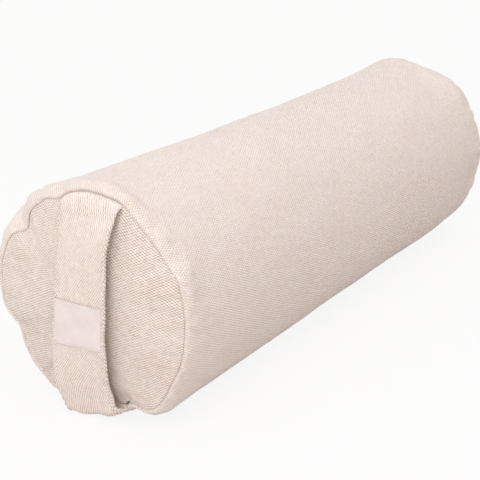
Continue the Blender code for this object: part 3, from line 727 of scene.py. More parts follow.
def make_zip_stitches():
    """Topstitching along both hems of the zip and across its two ends."""
    stitches = []
    for side in (-1, 1):
        for index in range(round(2 * ZIP_END / ZIP_STITCH_PITCH) + 1):
            place = zip_place(side * HEM_STITCH, index * ZIP_STITCH_PITCH - ZIP_END, 0.0001)
            stitches.append((place, Vector((0, 1, 0)), ZIP_OUT))
    across = round(2 * HEM_STITCH / ZIP_STITCH_PITCH)
    for y in (-ZIP_END, ZIP_END):
        for index in range(across):
            offset = (index + 0.5) * 2 * HEM_STITCH / across - HEM_STITCH
            stitches.append((zip_place(offset, y, 0.0001), ZIP_UP, ZIP_OUT))
    return sew("zip_stitches", stitches, 0.0027, 0.00055)


def dress(node, name, bevel):
    """A copy of a solid of the frame, merged and with its edges softened, to stand for it."""
    mesh = bpy.data.objects[node].data.copy()
    bm = bmesh.new()
    bm.from_mesh(mesh)
    bmesh.ops.remove_doubles(bm, verts=bm.verts, dist=WELD)
    bmesh.ops.dissolve_limit(bm, angle_limit=radians(2), verts=bm.verts, edges=bm.edges)
    sharp = [edge for edge in bm.edges if edge.is_manifold and edge.calc_face_angle(0) > radians(28)]
    bmesh.ops.bevel(bm, geom=sharp, offset=bevel, segments=2, profile=0.5, affect="EDGES", material=-1,
                    clamp_overlap=True)
    obj = to_object(name, bm)
    bpy.data.meshes.remove(mesh)
    obj.data.materials.clear()
    return obj


# Strap

def smooth_route(route, steps=8):
    """A smooth curve through a route's points."""
    points = [Vector(point) for point in route]
    ends = [points[0] * 2 - points[1]] + points + [points[-1] * 2 - points[-2]]
    curve = []
    for a, b, c, d in zip(ends, ends[1:], ends[2:], ends[3:]):
        for step in range(steps):
            shares = cubic_shares(step / steps)
            curve.append(sum((share * point for share, point in zip(shares, (a, b, c, d))), Vector((0, 0))))
    curve.append(points[-1])
    return np.array([tuple(point) for point in curve])


class StrapPath:
    """Places on the strap's middle surface: a ruled strip whose two ends lie in the end seam."""

    def __init__(self):
        places = np.array(STRAP_PLACES)
        self.left, self.right = smooth_route(places[:, :2]), smooth_route(places[:, 2:])
        middle = (self.left + self.right) / 2
        self.travel = travelled(middle) + STRAP_TAIL
        self.free_end = self.travel[-1]
        self.length = self.free_end + STRAP_TAIL
        self.lowest = int(np.argmin(middle[:, 1]))
        self.heights = middle[:, 1]

    def edge(self, line, travel):
        return np.stack([np.interp(travel, self.travel, line[:, k]) for k in (0, 1)], axis=-1)

    def in_seam(self, x, outside, side):
        """Points of the strap caught in the seam, outside being how far they are out of it."""
        radius = SEAM_RADIUS - STRAP_THICKNESS / 2 - SEAM_GAP
        height = side * np.sqrt(radius ** 2 - x ** 2)
        return shaped(np.stack([x, -HALF - outside, height], axis=1))

    def middle(self, travel, across):
        """Points of the strap at distances along and across it."""
        share = across / STRAP_WIDTH + 0.5
        near_floor = ease((travel - self.travel[self.lowest] + 0.040) / 0.036)
        curl = np.clip(share, 0, 1.1) ** (1 + (STRAP_CURL - 1) * near_floor)
        shares = np.stack([share, curl], axis=1)
        place = self.edge(self.left, travel) * (1 - shares) + self.edge(self.right, travel) * shares
        place[:, 0] -= STRAP_SCOOP * near_floor * hump(share, 0.62, 0.18)
        place[:, 1] += STRAP_RISE * near_floor * ease((share - 0.3) / 0.4)
        left, right = STRAP_SWING
        swing = left * np.abs(1 - share) ** 1.5 + right * np.abs(share) ** 1.5
        x = STRAP_MIDDLE + across + near_floor * swing
        x += STRAP_FLARE * ease((travel - self.travel[self.lowest] + 0.010) / 0.018) * np.abs(share) ** 2
        bow = STRAP_BOW * (1 - (2 * across / STRAP_WIDTH) ** 2) * ease((travel - STRAP_TAIL) / 0.05)
        points = np.stack([x, -HALF - place[:, 0] - bow, AXIS_HEIGHT + place[:, 1]], axis=1)
        top = self.in_seam(x, travel - STRAP_TAIL, 1)
        share = (1 - ease((travel - STRAP_TAIL) / 0.012))[:, None]
        points = points * (1 - share) + top * share
        bottom = self.in_seam(x, self.free_end - travel, -1)
        share = ease((travel - self.free_end + 0.006) / 0.008)[:, None]
        return points * (1 - share) + bottom * share

    def surface(self, travel, across, height):
        """Points at a height above the strap's middle surface."""
        step = 0.0006
        centre = self.middle(travel, across)
        ahead = self.middle(travel + step, across) - self.middle(travel - step, across)
        aside = self.middle(travel, across + step) - self.middle(travel, across - step)
        normal = np.cross(ahead, aside)
        normal /= np.linalg.norm(normal, axis=1)[:, None]
        return centre + normal * height[:, None]

    def travel_at(self, height):
        """How far along the strap hangs at a height above the axis, before its fold."""
        falling = slice(4, self.lowest)
        return float(np.interp(-height, -self.heights[falling], self.travel[falling]))


def strap_section(columns_flat, columns_edge):
    """The strap's cross-section as (across, height) round its outline, with rounded edges."""
    half, up = STRAP_WIDTH / 2, STRAP_THICKNESS / 2
    flat = half - up
    points = [(-flat + 2 * flat * i / columns_flat, up) for i in range(columns_flat)]
    points += [(flat + up * sin(turn), up * cos(turn))
               for turn in (pi * i / columns_edge for i in range(columns_edge))]
    points += [(-x, -z) for x, z in points]
    return points


def make_strap(name, path, start, end):
    """One length of the strap, closed at both ends."""
    section = np.array(strap_section(44, 8))
    columns = len(section)
    rows = max(2, round((end - start) / 0.0007))
    bm = bmesh.new()
    bmesh.ops.create_grid(bm, x_segments=columns, y_segments=rows, size=1)
    obj = to_object(name, bm)
    mesh = obj.data
    flat = read_points(mesh)
    column = np.rint((flat[:, 0] + 1) / 2 * columns).astype(int)
    row = (flat[:, 1] + 1) / 2
    travel = start + (end - start) * row
    across, height = section[column % columns].T
    edge = ease((np.abs(across) - 0.41 * STRAP_WIDTH) / (0.04 * STRAP_WIDTH))
    free = ease((travel - STRAP_TAIL - 0.002) / 0.016) * ease((path.free_end - travel - 0.002) / 0.012)
    edge *= free
    cord = bpy.context.scene.bolster_strap.edge_cord
    phase = 2 * pi * (travel + 0.9 * across + 0.5 * height) / STRAP_WHIP + 0.9 * np.sin(travel * 210)
    bead = cord * edge * np.cos(phase)
    grow = 1 + bead / (STRAP_THICKNESS / 2)
    side = np.sign(across) * 0.5 * bead * (np.abs(across) > 0.48 * STRAP_WIDTH)
    wander = 0.0005 * np.sin(travel * 70 + np.sign(across)) + 0.0003 * np.sin(travel * 163 + 2)
    pillow = 1 + 0.75 * edge
    points = path.surface(travel, across * (1 + wander / STRAP_WIDTH * 2) + side, height * grow * pillow)
    write_points(mesh, points)
    along_section = travelled(section)
    along_section = np.append(along_section, along_section[-1] + 0.001)
    corners = corner_vertices(mesh)
    lay_cloth(mesh, along_section[column][corners], travel[corners])
    bm = bmesh.new()
    bm.from_mesh(mesh)
    bmesh.ops.remove_doubles(bm, verts=bm.verts, dist=WELD)
    open_edges = [edge for edge in bm.edges if edge.is_boundary]
    bmesh.ops.holes_fill(bm, edges=open_edges, sides=0)
    bmesh.ops.recalc_face_normals(bm, faces=bm.faces)
    bm.to_mesh(mesh)
    bm.free()
    mesh.shade_smooth()
    return obj


def label_points(path, across, down, lift):
    """Places over the strap from the label's middle: across it and down it."""
    height = LABEL_MIDDLE + down + across * tan(LABEL_TILT)
    heights = np.linspace(LABEL_MIDDLE + LABEL_HEIGHT, LABEL_MIDDLE - LABEL_HEIGHT, 60)
    travels = np.array([path.travel_at(value) for value in heights])
    travel = np.interp(-height, -heights, travels)
    return path.surface(travel, across, STRAP_THICKNESS / 2 + lift)


def make_label(path):
    """A satin patch lying on the strap, with its cut edges turned under at top and bottom."""
    columns, rows = 48, 60
    bm = bmesh.new()
    bmesh.ops.create_grid(bm, x_segments=columns, y_segments=rows, size=1)
    obj = to_object("blank_label_satin", bm)
    mesh = obj.data
    flat = read_points(mesh)
    across = flat[:, 0] * LABEL_WIDTH / 2
    down = flat[:, 1] * LABEL_HEIGHT / 2
    edge = np.minimum(LABEL_WIDTH / 2 - np.abs(across), LABEL_HEIGHT / 2 - np.abs(down))
    row_edge = LABEL_HEIGHT / 2 - np.abs(down)
    lift = LABEL_LIFT + 0.0004 * ease(edge / 0.004)
    lift += 0.00035 * (1 - ease((row_edge - 0.0028) / 0.0012))
    lift -= 0.0004 * hump(row_edge, LABEL_STITCH, 0.0006)
    lift += 0.0003 * np.sin(across * 190 + 1.0) * np.sin(down * 120 + 0.5)
    write_points(mesh, label_points(path, across, down, lift))
    corners = corner_vertices(mesh)
    lay_cloth(mesh, across[corners], down[corners])
    add_wall(obj, LABEL_WALL)
    return obj


def make_label_stitches(path):
    """Two rows of thread that hold the label at its turned-under edges."""
    count = LABEL_STITCHES
    across = (np.arange(count) - (count - 1) / 2) * LABEL_STITCH_PITCH
    stitches = []
    for row in (-1, 1):
        down = np.full(count, row * (LABEL_HEIGHT / 2 - LABEL_STITCH))
        lift = np.full(count, LABEL_LIFT + 0.0003)
        here = label_points(path, across, down, lift)
        beside = label_points(path, across + 0.0005, down, lift)
        above = label_points(path, across, down, lift + 0.0005)
        for place, side, out in zip(here, beside - here, above - here):
            stitches.append((Vector(place), Vector(side), Vector(out)))
    return sew("label_stitches", stitches, 0.0018, 0.0005)


# Materials

CONSTANTS = {"rough": "Roughness", "gloss": "Specular IOR Level", "metal": "Metallic",
             "sheen": "Sheen Weight", "sheen_rough": "Sheen Roughness"}
PLY_ACROSS, PLY_ALONG = 0.00045, 0.0014  # spacing of the plies twisted into one yarn
TAPE_RIB = 0.0009  # width of a rib of the zip's tape
TAPE_FOLD = 0.0016  # from one turn of its herringbone to the next
CALICO_YARN = 0.0006


class Graph:
    """Short calls that add nodes to one material."""

    def __init__(self, name):
        self.material = bpy.data.materials.new(name)
        self.material.use_nodes = True
        self.tree = self.material.node_tree
        self.shader = self.tree.nodes["Principled BSDF"]

    def node(self, kind, inputs=(), **settings):
        """A node with its settings, and its inputs linked or set. A colour may leave out its alpha."""
        made = self.tree.nodes.new(kind)
        for key, value in settings.items():
            setattr(made, key, value)
        for key, value in dict(inputs).items():
            socket = made.inputs[key]
            if isinstance(value, bpy.types.NodeSocket):
                self.tree.links.new(value, socket)
            else:
                socket.default_value = (*value, 1) if socket.type == "RGBA" else value
        return made

    def math(self, operation, *values, clamp=False):
        inputs = dict(enumerate(values))
        return self.node("ShaderNodeMath", inputs, operation=operation, use_clamp=clamp).outputs[0]

    def range(self, value, low, high, to_low=0.0, to_high=1.0, kind="LINEAR"):
        inputs = {"Value": value, "From Min": low, "From Max": high, "To Min": to_low, "To Max": to_high}
        return self.node("ShaderNodeMapRange", inputs, interpolation_type=kind).outputs["Result"]

    def noise(self, vector, scale, detail=2.0, roughness=0.5):
        inputs = {"Vector": vector, "Scale": scale, "Detail": detail, "Roughness": roughness}
        return self.node("ShaderNodeTexNoise", inputs).outputs["Fac"]

    def vector(self, operation, *values):
        return self.node("ShaderNodeVectorMath", dict(enumerate(values)), operation=operation).outputs[0]

    def scatter(self, vector, scale, detail):
        """A noise with a value of its own in each of three directions."""
        inputs = {"Vector": vector, "Scale": scale, "Detail": detail}
        return self.node("ShaderNodeTexNoise", inputs).outputs["Color"]

    def stretch(self, vector, scale):
        return self.node("ShaderNodeMapping", {"Vector": vector, "Scale": scale}).outputs["Vector"]

    def blend(self, factor, a, b, kind="MIX"):
        inputs = {0: factor, 6: a, 7: b}
        return self.node("ShaderNodeMix", inputs, data_type="RGBA", blend_type=kind).outputs[2]

    def waves(self, *runs):
        """A sine over one or more runs of (place, wavelength), added together."""
        turns = [self.math("MULTIPLY", place, 2 * pi / length) for place, length in runs]
        return self.math("SINE", turns[0] if len(turns) == 1 else self.math("ADD", *turns))

    def link(self, socket, name):
        self.tree.links.new(socket, self.shader.inputs[name])

    def on_cloth(self):
        """Places on the flat cloth."""
        return self.node("ShaderNodeUVMap", uv_map="cloth").outputs["UV"]

    def on_object(self):
        return self.node("ShaderNodeTexCoord").outputs["Object"]

    def finish(self, colour, height, relief, **constants):
        """Colour the surface, raise it by a height, set the shader's constants and give the material."""
        self.link(colour, "Base Color")
        for name, value in constants.items():
            self.shader.inputs[CONSTANTS[name]].default_value = value
        bump = self.node("ShaderNodeBump", {"Height": height, "Distance": relief, "Strength": 1.0})
        self.link(bump.outputs["Normal"], "Normal")
        return self.material


def twill(name, balance, relief, depth=1.0, turned=False, fineness=1.0):
    """Coarse natural cotton twill: staggered floats with flecks, slubs and two diagonals.

    balance is the strength of the second diagonal beside the first, relief the height of the weave, depth
    the strength of the painted shade in its crevices, and fineness shortens the floats.
    """
    cloth = bpy.context.scene.bolster_cloth
    graph = Graph(name)
    place = graph.on_cloth()
    moved = place
    for scale, reach in ((90.0, 0.0013), (430.0, 0.0008)):
        wander = graph.scatter(place, scale, 2.0)
        shift = graph.vector("SUBTRACT", wander, (0.5, 0.5, 0.5))
        moved = graph.vector("MULTIPLY_ADD", shift, (reach, reach, 0.0), moved)
    split = graph.node("ShaderNodeSeparateXYZ", {0: moved})
    rows = graph.math("MULTIPLY", split.outputs[0], 0.5 / cloth.row_pitch)
    floats = graph.math("MULTIPLY", split.outputs[1], 0.5 / cloth.float_length * fineness)
    first, second = graph.math("ADD", rows, floats), graph.math("SUBTRACT", rows, floats)
    if turned:
        first, second = second, first
    numbers, crevices = [], []
    for phase in (first, second):
        number = graph.math("ROUND", phase)
        from_middle = graph.math("ABSOLUTE", graph.math("SUBTRACT", phase, number))
        numbers.append(number)
        crevices.append(graph.math("POWER", graph.math("MULTIPLY", from_middle, 2.0), cloth.fullness))
    which = graph.node("ShaderNodeCombineXYZ", {0: numbers[0], 1: numbers[1]}).outputs[0]
    each = graph.node("ShaderNodeTexWhiteNoise", {"Vector": which}).outputs["Value"]
    crevice = graph.math("MULTIPLY_ADD", crevices[1], balance, crevices[0])
    fading = graph.range(graph.noise(place, 170.0, 3.0, 0.6), 0.35, 0.65, 0.72, 1.15)
    # Painted shade: crevices are coloured darker, and cut deeper, on faces that turn down than on faces that
    # turn up, as though light filled them only from above
    facing = graph.node("ShaderNodeTexCoord").outputs["Normal"]
    upwards = graph.node("ShaderNodeSeparateXYZ", {0: facing}).outputs[2]
    painted_shade_by_facing = graph.range(upwards, -0.5, 0.9, 1.55, 0.60)
    crevice = graph.math("MULTIPLY", graph.math("MULTIPLY", crevice, fading), painted_shade_by_facing)
    weave = graph.math("SUBTRACT", 1.0, crevice, clamp=True)
    weave = graph.math("MULTIPLY", weave, graph.range(each, 0.0, 1.0, 1 - cloth.uneven, 1.0))

    slubs = graph.noise(graph.stretch(place, (620, 26, 1)), 1.0, 3.0, 0.6)
    picks = graph.noise(graph.stretch(place, (40, 480, 1)), 1.0, 3.0, 0.6)
    knots = graph.noise(place, 620.0, 1.0)
    uneven = graph.math("ADD", graph.math("MULTIPLY", slubs, 0.5), graph.math("MULTIPLY", picks, 0.3))
    uneven = graph.math("MULTIPLY_ADD", knots, 0.35, uneven)

    # The crevices' colour is painted shade: the yarn colour taken towards the shade colour by depth
    crevice_shade_colour = [a + (b - a) * depth for a, b in zip(cloth.colour, cloth.shade)]
    height = graph.math("MULTIPLY_ADD", graph.math("SUBTRACT", uneven, 0.57), 0.7, weave)
    # Colour follows the weave's height, so crevices and the lower floats take the painted shade
    colour = graph.blend(graph.range(height, 0.0, 0.75, kind="SMOOTHSTEP"), crevice_shade_colour, cloth.colour)
    plies = graph.waves((split.outputs[0], PLY_ACROSS), (split.outputs[1], PLY_ALONG))
    # Painted shade in the grooves between the plies of each yarn
    colour = graph.blend(graph.range(plies, -1.0, 1.0, 0.06, 0.0), colour, crevice_shade_colour)
    patches = graph.noise(place, 30.0, 2.0)
    colour = graph.blend(graph.range(patches, 0.32, 0.68), colour, cloth.blush, "MULTIPLY")
    yellow = graph.noise(graph.stretch(place, (37, 33, 1)), 1.0, 2.0)
    colour = graph.blend(graph.range(yellow, 0.40, 0.66, 0.0, 0.6), colour, cloth.straw, "MULTIPLY")
    fleck = graph.noise(graph.stretch(place, (520, 260, 1)), 1.0, 1.0)
    colour = graph.blend(graph.range(fleck, 0.735, 0.80), colour, cloth.fleck)
    fuzz = graph.noise(place, 1500.0, 2.0)
    fuzzy = graph.math("MULTIPLY_ADD", plies, 0.02, graph.math("MULTIPLY_ADD", fuzz, 0.25, height))
    return graph.finish(colour, fuzzy, relief, rough=0.92, gloss=0.25, sheen=cloth.sheen, sheen_rough=0.45)


def satin(name):
    """Off-white satin ribbon with fine ribs across it."""
    graph = Graph(name)
    place = graph.on_cloth()
    ribs = graph.noise(graph.stretch(place, (160, 2600, 1)), 1.0, 2.0)
    mottled = graph.noise(place, 60.0, 3.0)
    colour = graph.blend(graph.range(mottled, 0.3, 0.7), (0.68, 0.62, 0.60), (0.76, 0.70, 0.69))
    colour = graph.blend(graph.range(ribs, 0.35, 0.65, 0.0, 0.35), colour, (0.62, 0.56, 0.54))
    return graph.finish(colour, ribs, 0.00008, rough=0.48, sheen=0.15, gloss=0.45)


def thread(name):
    """Undyed twisted sewing thread."""
    graph = Graph(name)
    place = graph.on_object()
    twist = graph.noise(place, 2600.0, 2.0)
    colour = graph.blend(graph.range(twist, 0.35, 0.65), (0.74, 0.64, 0.56), (0.90, 0.83, 0.76))
    return graph.finish(colour, twist, 0.0002, rough=0.7, sheen=0.2)


def tape(name):
    """Herringbone zip tape."""
    graph = Graph(name)
    place = graph.on_object()
    split = graph.node("ShaderNodeSeparateXYZ", {0: place})
    across = graph.node("ShaderNodeVectorMath", {0: place, 1: ZIP_UP}, operation="DOT_PRODUCT")
    folded = graph.math("PINGPONG", across.outputs["Value"], TAPE_FOLD)
    ribs = graph.range(graph.waves((folded, TAPE_RIB), (split.outputs[1], TAPE_RIB)), -1.0, 1.0)
    uneven = graph.noise(place, 900.0, 2.0)
    height = graph.math("MULTIPLY_ADD", uneven, 0.5, ribs)
    # Painted shade: the tape is coloured darker where its ribs lie low, in their grooves
    colour = graph.blend(graph.range(height, 0.2, 1.2), (0.62, 0.52, 0.44), (0.86, 0.78, 0.70))
    return graph.finish(colour, height, 0.00015, rough=0.85, sheen=0.2)


def moulded_teeth(name):
    """Satin moulded plastic of the zip's teeth."""
    graph = Graph(name)
    place = graph.on_object()
    cloudy = graph.noise(place, 350.0, 2.0)
    colour = graph.blend(graph.range(cloudy, 0.3, 0.7), (0.76, 0.69, 0.61), (0.84, 0.78, 0.70))
    grain = graph.noise(place, 5000.0, 1.0)
    graph.link(graph.range(grain, 0.3, 0.7, 0.30, 0.42), "Roughness")
    return graph.finish(colour, grain, 0.00002, gloss=0.5)


def nickel(name):
    """Brushed nickel, duller where fingers and the teeth rub it."""
    graph = Graph(name)
    place = graph.on_object()
    brushed = graph.noise(graph.stretch(place, (9000, 700, 9000)), 1.0, 2.0)
    worn = graph.noise(place, 420.0, 3.0)
    colour = graph.blend(graph.range(worn, 0.35, 0.65), (0.62, 0.60, 0.57), (0.72, 0.70, 0.67))
    rough = graph.math("MULTIPLY_ADD", brushed, 0.16, graph.range(worn, 0.3, 0.7, 0.16, 0.30))
    graph.link(rough, "Roughness")
    return graph.finish(colour, brushed, 0.00001, metal=1.0)


def calico(name):
    """Plain unbleached calico."""
    graph = Graph(name)
    place = graph.on_cloth()
    split = graph.node("ShaderNodeSeparateXYZ", {0: place})
    warp, weft = (graph.waves((split.outputs[way], 2 * CALICO_YARN)) for way in (0, 1))
    weave = graph.range(graph.math("MULTIPLY", warp, weft), -1.0, 1.0)
    slubs = graph.noise(graph.stretch(place, (900, 40, 1)), 1.0, 2.0)
    height = graph.math("MULTIPLY_ADD", slubs, 0.6, weave)
    # Painted shade: the cloth is coloured darker where its weave lies low, between the yarns
    colour = graph.blend(graph.range(height, 0.1, 1.3), (0.70, 0.62, 0.52), (0.87, 0.81, 0.72))
    fleck = graph.noise(place, 900.0, 1.0)
    colour = graph.blend(graph.range(fleck, 0.74, 0.80), colour, (0.45, 0.33, 0.22))
    return graph.finish(colour, height, 0.00015, rough=0.9, sheen=0.15)


def kapok(name):
    """Loose silky kapok fibre."""
    graph = Graph(name)
    place = graph.on_object()
    wander = graph.scatter(place, 30.0, 3.0)
    moved = graph.vector("MULTIPLY_ADD", wander, (0.02, 0.02, 0.02), place)
    fibres = graph.noise(graph.stretch(moved, (900, 120, 900)), 1.0, 4.0, 0.65)
    tufts = graph.noise(place, 70.0, 3.0)
    colour = graph.blend(graph.range(fibres, 0.35, 0.65), (0.72, 0.62, 0.45), (0.90, 0.84, 0.70))
    colour = graph.blend(graph.range(tufts, 0.55, 0.75, 0.0, 0.4), colour, (0.78, 0.66, 0.46))
    return graph.finish(colour, fibres, 0.0012, rough=0.65, sheen=0.5)


# Settings

class BolsterShape(bpy.types.PropertyGroup):
    waist: bpy.props.FloatProperty(
        name="Waist", description="How far the middle of the body is drawn in", default=0.0032, min=0,
        max=0.01, unit="LENGTH", precision=4)
    lumps: bpy.props.FloatProperty(
        name="Lumps", description="Height of the stuffing's long unevenness", default=0.0007, min=0,
        max=0.005, unit="LENGTH", precision=4)
    puckers: bpy.props.FloatProperty(
        name="Puckers", description="Height of the gathers beside the end seams", default=0.0006, min=0,
        max=0.003, unit="LENGTH", precision=4)
    spare: bpy.props.FloatProperty(
        name="Spare cloth", description="Share of spare cloth beside the end seams", default=0.05, min=0,
        max=0.2, subtype="FACTOR")
    ripple_cap: bpy.props.FloatProperty(
        name="Ripple cap", description="Most that a ripple may rise", default=0.0025, min=0, max=0.01,
        unit="LENGTH", precision=4)


class BolsterCloth(bpy.types.PropertyGroup):
    colour: bpy.props.FloatVectorProperty(
        name="Yarn", description="Colour of the yarns' crests", default=(0.90, 0.825, 0.78),
        subtype="COLOR", min=0, max=1)
    # Painted shade: the colour laid into the crevices between the yarns, where shade falls
    shade: bpy.props.FloatVectorProperty(
        name="Crevice", description="Colour between the yarns", default=(0.56, 0.455, 0.37),
        subtype="COLOR", min=0, max=1)
    blush: bpy.props.FloatVectorProperty(
        name="Blush", description="Faint pink of some patches", default=(0.98, 0.95, 0.96),
        subtype="COLOR", min=0, max=1)
    straw: bpy.props.FloatVectorProperty(
        name="Straw", description="Faint yellow of some patches", default=(1.0, 0.99, 0.93),
        subtype="COLOR", min=0, max=1)
    fleck: bpy.props.FloatVectorProperty(
        name="Fleck", description="Colour of bits of seed husk in the yarn", default=(0.52, 0.36, 0.24),
        subtype="COLOR", min=0, max=1)
    row_pitch: bpy.props.FloatProperty(
        name="Row pitch", description="Width of one yarn", default=0.00123, min=0.0003, max=0.01,
        unit="LENGTH", precision=5)
    float_length: bpy.props.FloatProperty(
        name="Float length", description="Length that a yarn lies on top", default=0.0024, min=0.0005,
        max=0.02, unit="LENGTH", precision=5)
    fullness: bpy.props.FloatProperty(
        name="Fullness", description="How full the yarns stand beside their crevices", default=4.0, min=1,
        max=8)
    uneven: bpy.props.FloatProperty(
        name="Uneven", description="How much lower the lowest floats lie", default=0.32, min=0, max=1,
        subtype="FACTOR")
    relief: bpy.props.FloatProperty(
        name="Relief", description="Height of the weave", default=0.0006, min=0, max=0.002, unit="LENGTH",
        precision=5)
    sheen: bpy.props.FloatProperty(
        name="Sheen", description="Soft light caught by loose fibres", default=0.45, min=0, max=1,
        subtype="FACTOR")


class BolsterStrap(bpy.types.PropertyGroup):
    edge_cord: bpy.props.FloatProperty(
        name="Edge cord", description="Height of the ridges on the folded edge", default=0.00030, min=0,
        max=0.001, unit="LENGTH", precision=5)


class BolsterStage(bpy.types.PropertyGroup):
    sky: bpy.props.FloatProperty(
        name="Sky", description="Strength of the even light all round", default=0.855, min=0, max=3)
    key: bpy.props.FloatProperty(
        name="Key", description="Power of the large lamp in front", default=14.6, min=0, max=500,
        subtype="POWER")
    lens: bpy.props.FloatProperty(
        name="Lens", description="Focal length", default=81.1, min=10, max=300, subtype="DISTANCE_CAMERA")


# Operators

# Each lamp as (name, place, size, share of the key's power, colour), all aimed at one point
LAMPS = (("key", (0.15, -1.9, 1.6), 1.6, 1.03, (0.975, 1.0, 1.01)),
         ("top", (0.5, -0.45, 2.0), 1.6, 0.22, (0.975, 0.995, 1.01)),
         ("fill", (1.1, -1.9, 0.5), 1.4, 0.40, (1.0, 0.945, 0.93)))
AIM = (0, 0, AXIS_HEIGHT)
SKY_TINT = (1.0, 0.948, 0.930)
CAMERA_PLACE = (0.61377, -0.98103, 0.515)
CAMERA_TURN = (radians(68.72), 0, radians(34.16))


def shared_ripples():
    """The cover's ripples, worked out once for all its pieces."""
    if not hasattr(shared_ripples, "found"):
        shared_ripples.found = simulate_ripples()
    return shared_ripples.found


class BOLSTER_OT_cover(bpy.types.Operator):
    """Model the cover's body and its two end panels"""
    bl_idname = "bolster.cover"
    bl_label = "Cover"

    def execute(self, context):
        ripples = shared_ripples()
        cloth = context.scene.bolster_cloth
        body = make_cover_body(ripples)
        run_length(cover_profile())
        body.data.materials.append(twill("twill_body", 0.85, cloth.relief, depth=0.8, turned=True))
        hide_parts("cover_body_panel")
        panel_cloth = twill("twill_panel", 0.80, cloth.relief, depth=1.25)
        pieces = [body]
        for name, node, side in (("cover_front", "cover_front_panel", -1),
                                 ("cover_rear", "cover_rear_panel", 1)):
            panel = make_panel(name, side, ripples)
            run_length(panel_profile())
            panel.data.materials.append(panel_cloth)
            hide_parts(node)
            pieces.append(panel)
        seam_thread = thread("seam_thread")
        for name, side in (("front_seam_thread", -1), ("rear_seam_thread", 1)):
            ring = make_seam_thread(name, side)
            ring.data.materials.append(seam_thread)
            pieces.append(ring)
        for piece in pieces:
            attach(piece, "root")
        return {"FINISHED"}


class BOLSTER_OT_inside(bpy.types.Operator):
    """Model the liner and the kapok filling inside the cover"""
    bl_idname = "bolster.inside"
    bl_label = "Liner and filling"

    def execute(self, context):
        depth = COVER_WALL + LAYER_GAP
        cloth = calico("calico")
        nodes = ("liner_body_panel", "liner_front_panel", "liner_rear_panel")
        for piece, node in zip(make_liner(depth), nodes):
            piece.data.materials.append(cloth)
            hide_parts(node)
            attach(piece, "root")
        filling = make_filling(depth + LINER_WALL + LAYER_GAP)
        filling.data.materials.append(kapok("kapok"))
        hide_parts("kapok_filling")
        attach(filling, "root")
        return {"FINISHED"}


class BOLSTER_OT_zip(bpy.types.Operator):
    """Finish the zip's tapes, teeth, stops, slider and pull, and stitch its hems"""
    bl_idname = "bolster.zip"
    bl_label = "Zip"

    def execute(self, context):
        woven, plastic = tape("zip_tape"), moulded_teeth("zip_teeth")
        for side in ("upper", "lower"):
            for node, material in ((f"zip_tape_{side}", woven), (f"zip_teeth_{side}", plastic)):
                mesh = bpy.data.objects[node].data
                mesh.materials.clear()
                mesh.materials.append(material)
        metal = nickel("nickel")
        softened = (("zip_bottom_stop", "root", 0.0002), ("zip_top_stop_upper", "root", 0.0002),
                    ("zip_top_stop_lower", "root", 0.0002), ("zip_slider", "slider", 0.00025),
                    ("zip_pull_tab", "pull", 0.0002))
        for node, body, bevel in softened:
            piece = dress(node, f"{node}_nickel", bevel)
            piece.data.materials.append(metal)
            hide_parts(node)
            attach(piece, body)
        stitches = make_zip_stitches()
        stitches.data.materials.append(thread("thread"))
        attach(stitches, "root")
        return {"FINISHED"}


class BOLSTER_OT_strap(bpy.types.Operator):
    """Model the carry strap in two lengths that meet under the label"""
    bl_idname = "bolster.strap"
    bl_label = "Strap"

    def execute(self, context):
        path = StrapPath()
        middle = path.travel_at(LABEL_MIDDLE)
        relief = 0.8 * context.scene.bolster_cloth.relief
        cloth = twill("twill_strap", 0.85, relief, depth=1.1, turned=True, fineness=1.35)
        upper = make_strap("strap_upper", path, 0, middle - STRAP_SPLIT)
        lower = make_strap("strap_lower", path, middle + STRAP_SPLIT, path.length)
        grip_low, grip_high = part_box("handle_grip")
        x = STRAP_MIDDLE
        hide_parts("handle_upper_leg", "handle_grip")
        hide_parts("handle_lower_leg")
        for strap in (upper, lower):
            strap.data.materials.append(cloth)
        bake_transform(upper, "root", "handle", (x, -HALF, AXIS_HEIGHT + 0.100), (x, grip_high.y, grip_high.z))
        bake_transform(lower, "root", "handle", (x, -HALF, AXIS_HEIGHT - 0.088), (x, grip_low.y, grip_low.z))
        return {"FINISHED"}


class BOLSTER_OT_label(bpy.types.Operator):
    """Model the bare satin label"""
    bl_idname = "bolster.label"
    bl_label = "Label"

    def execute(self, context):
        path = StrapPath()
        label = make_label(path)
        label.data.materials.append(satin("satin_label"))
        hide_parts("blank_label")
        stitches = make_label_stitches(path)
        stitches.data.materials.append(thread("label_thread"))
        for piece in (label, stitches):
            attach(piece, "handle")
        return {"FINISHED"}


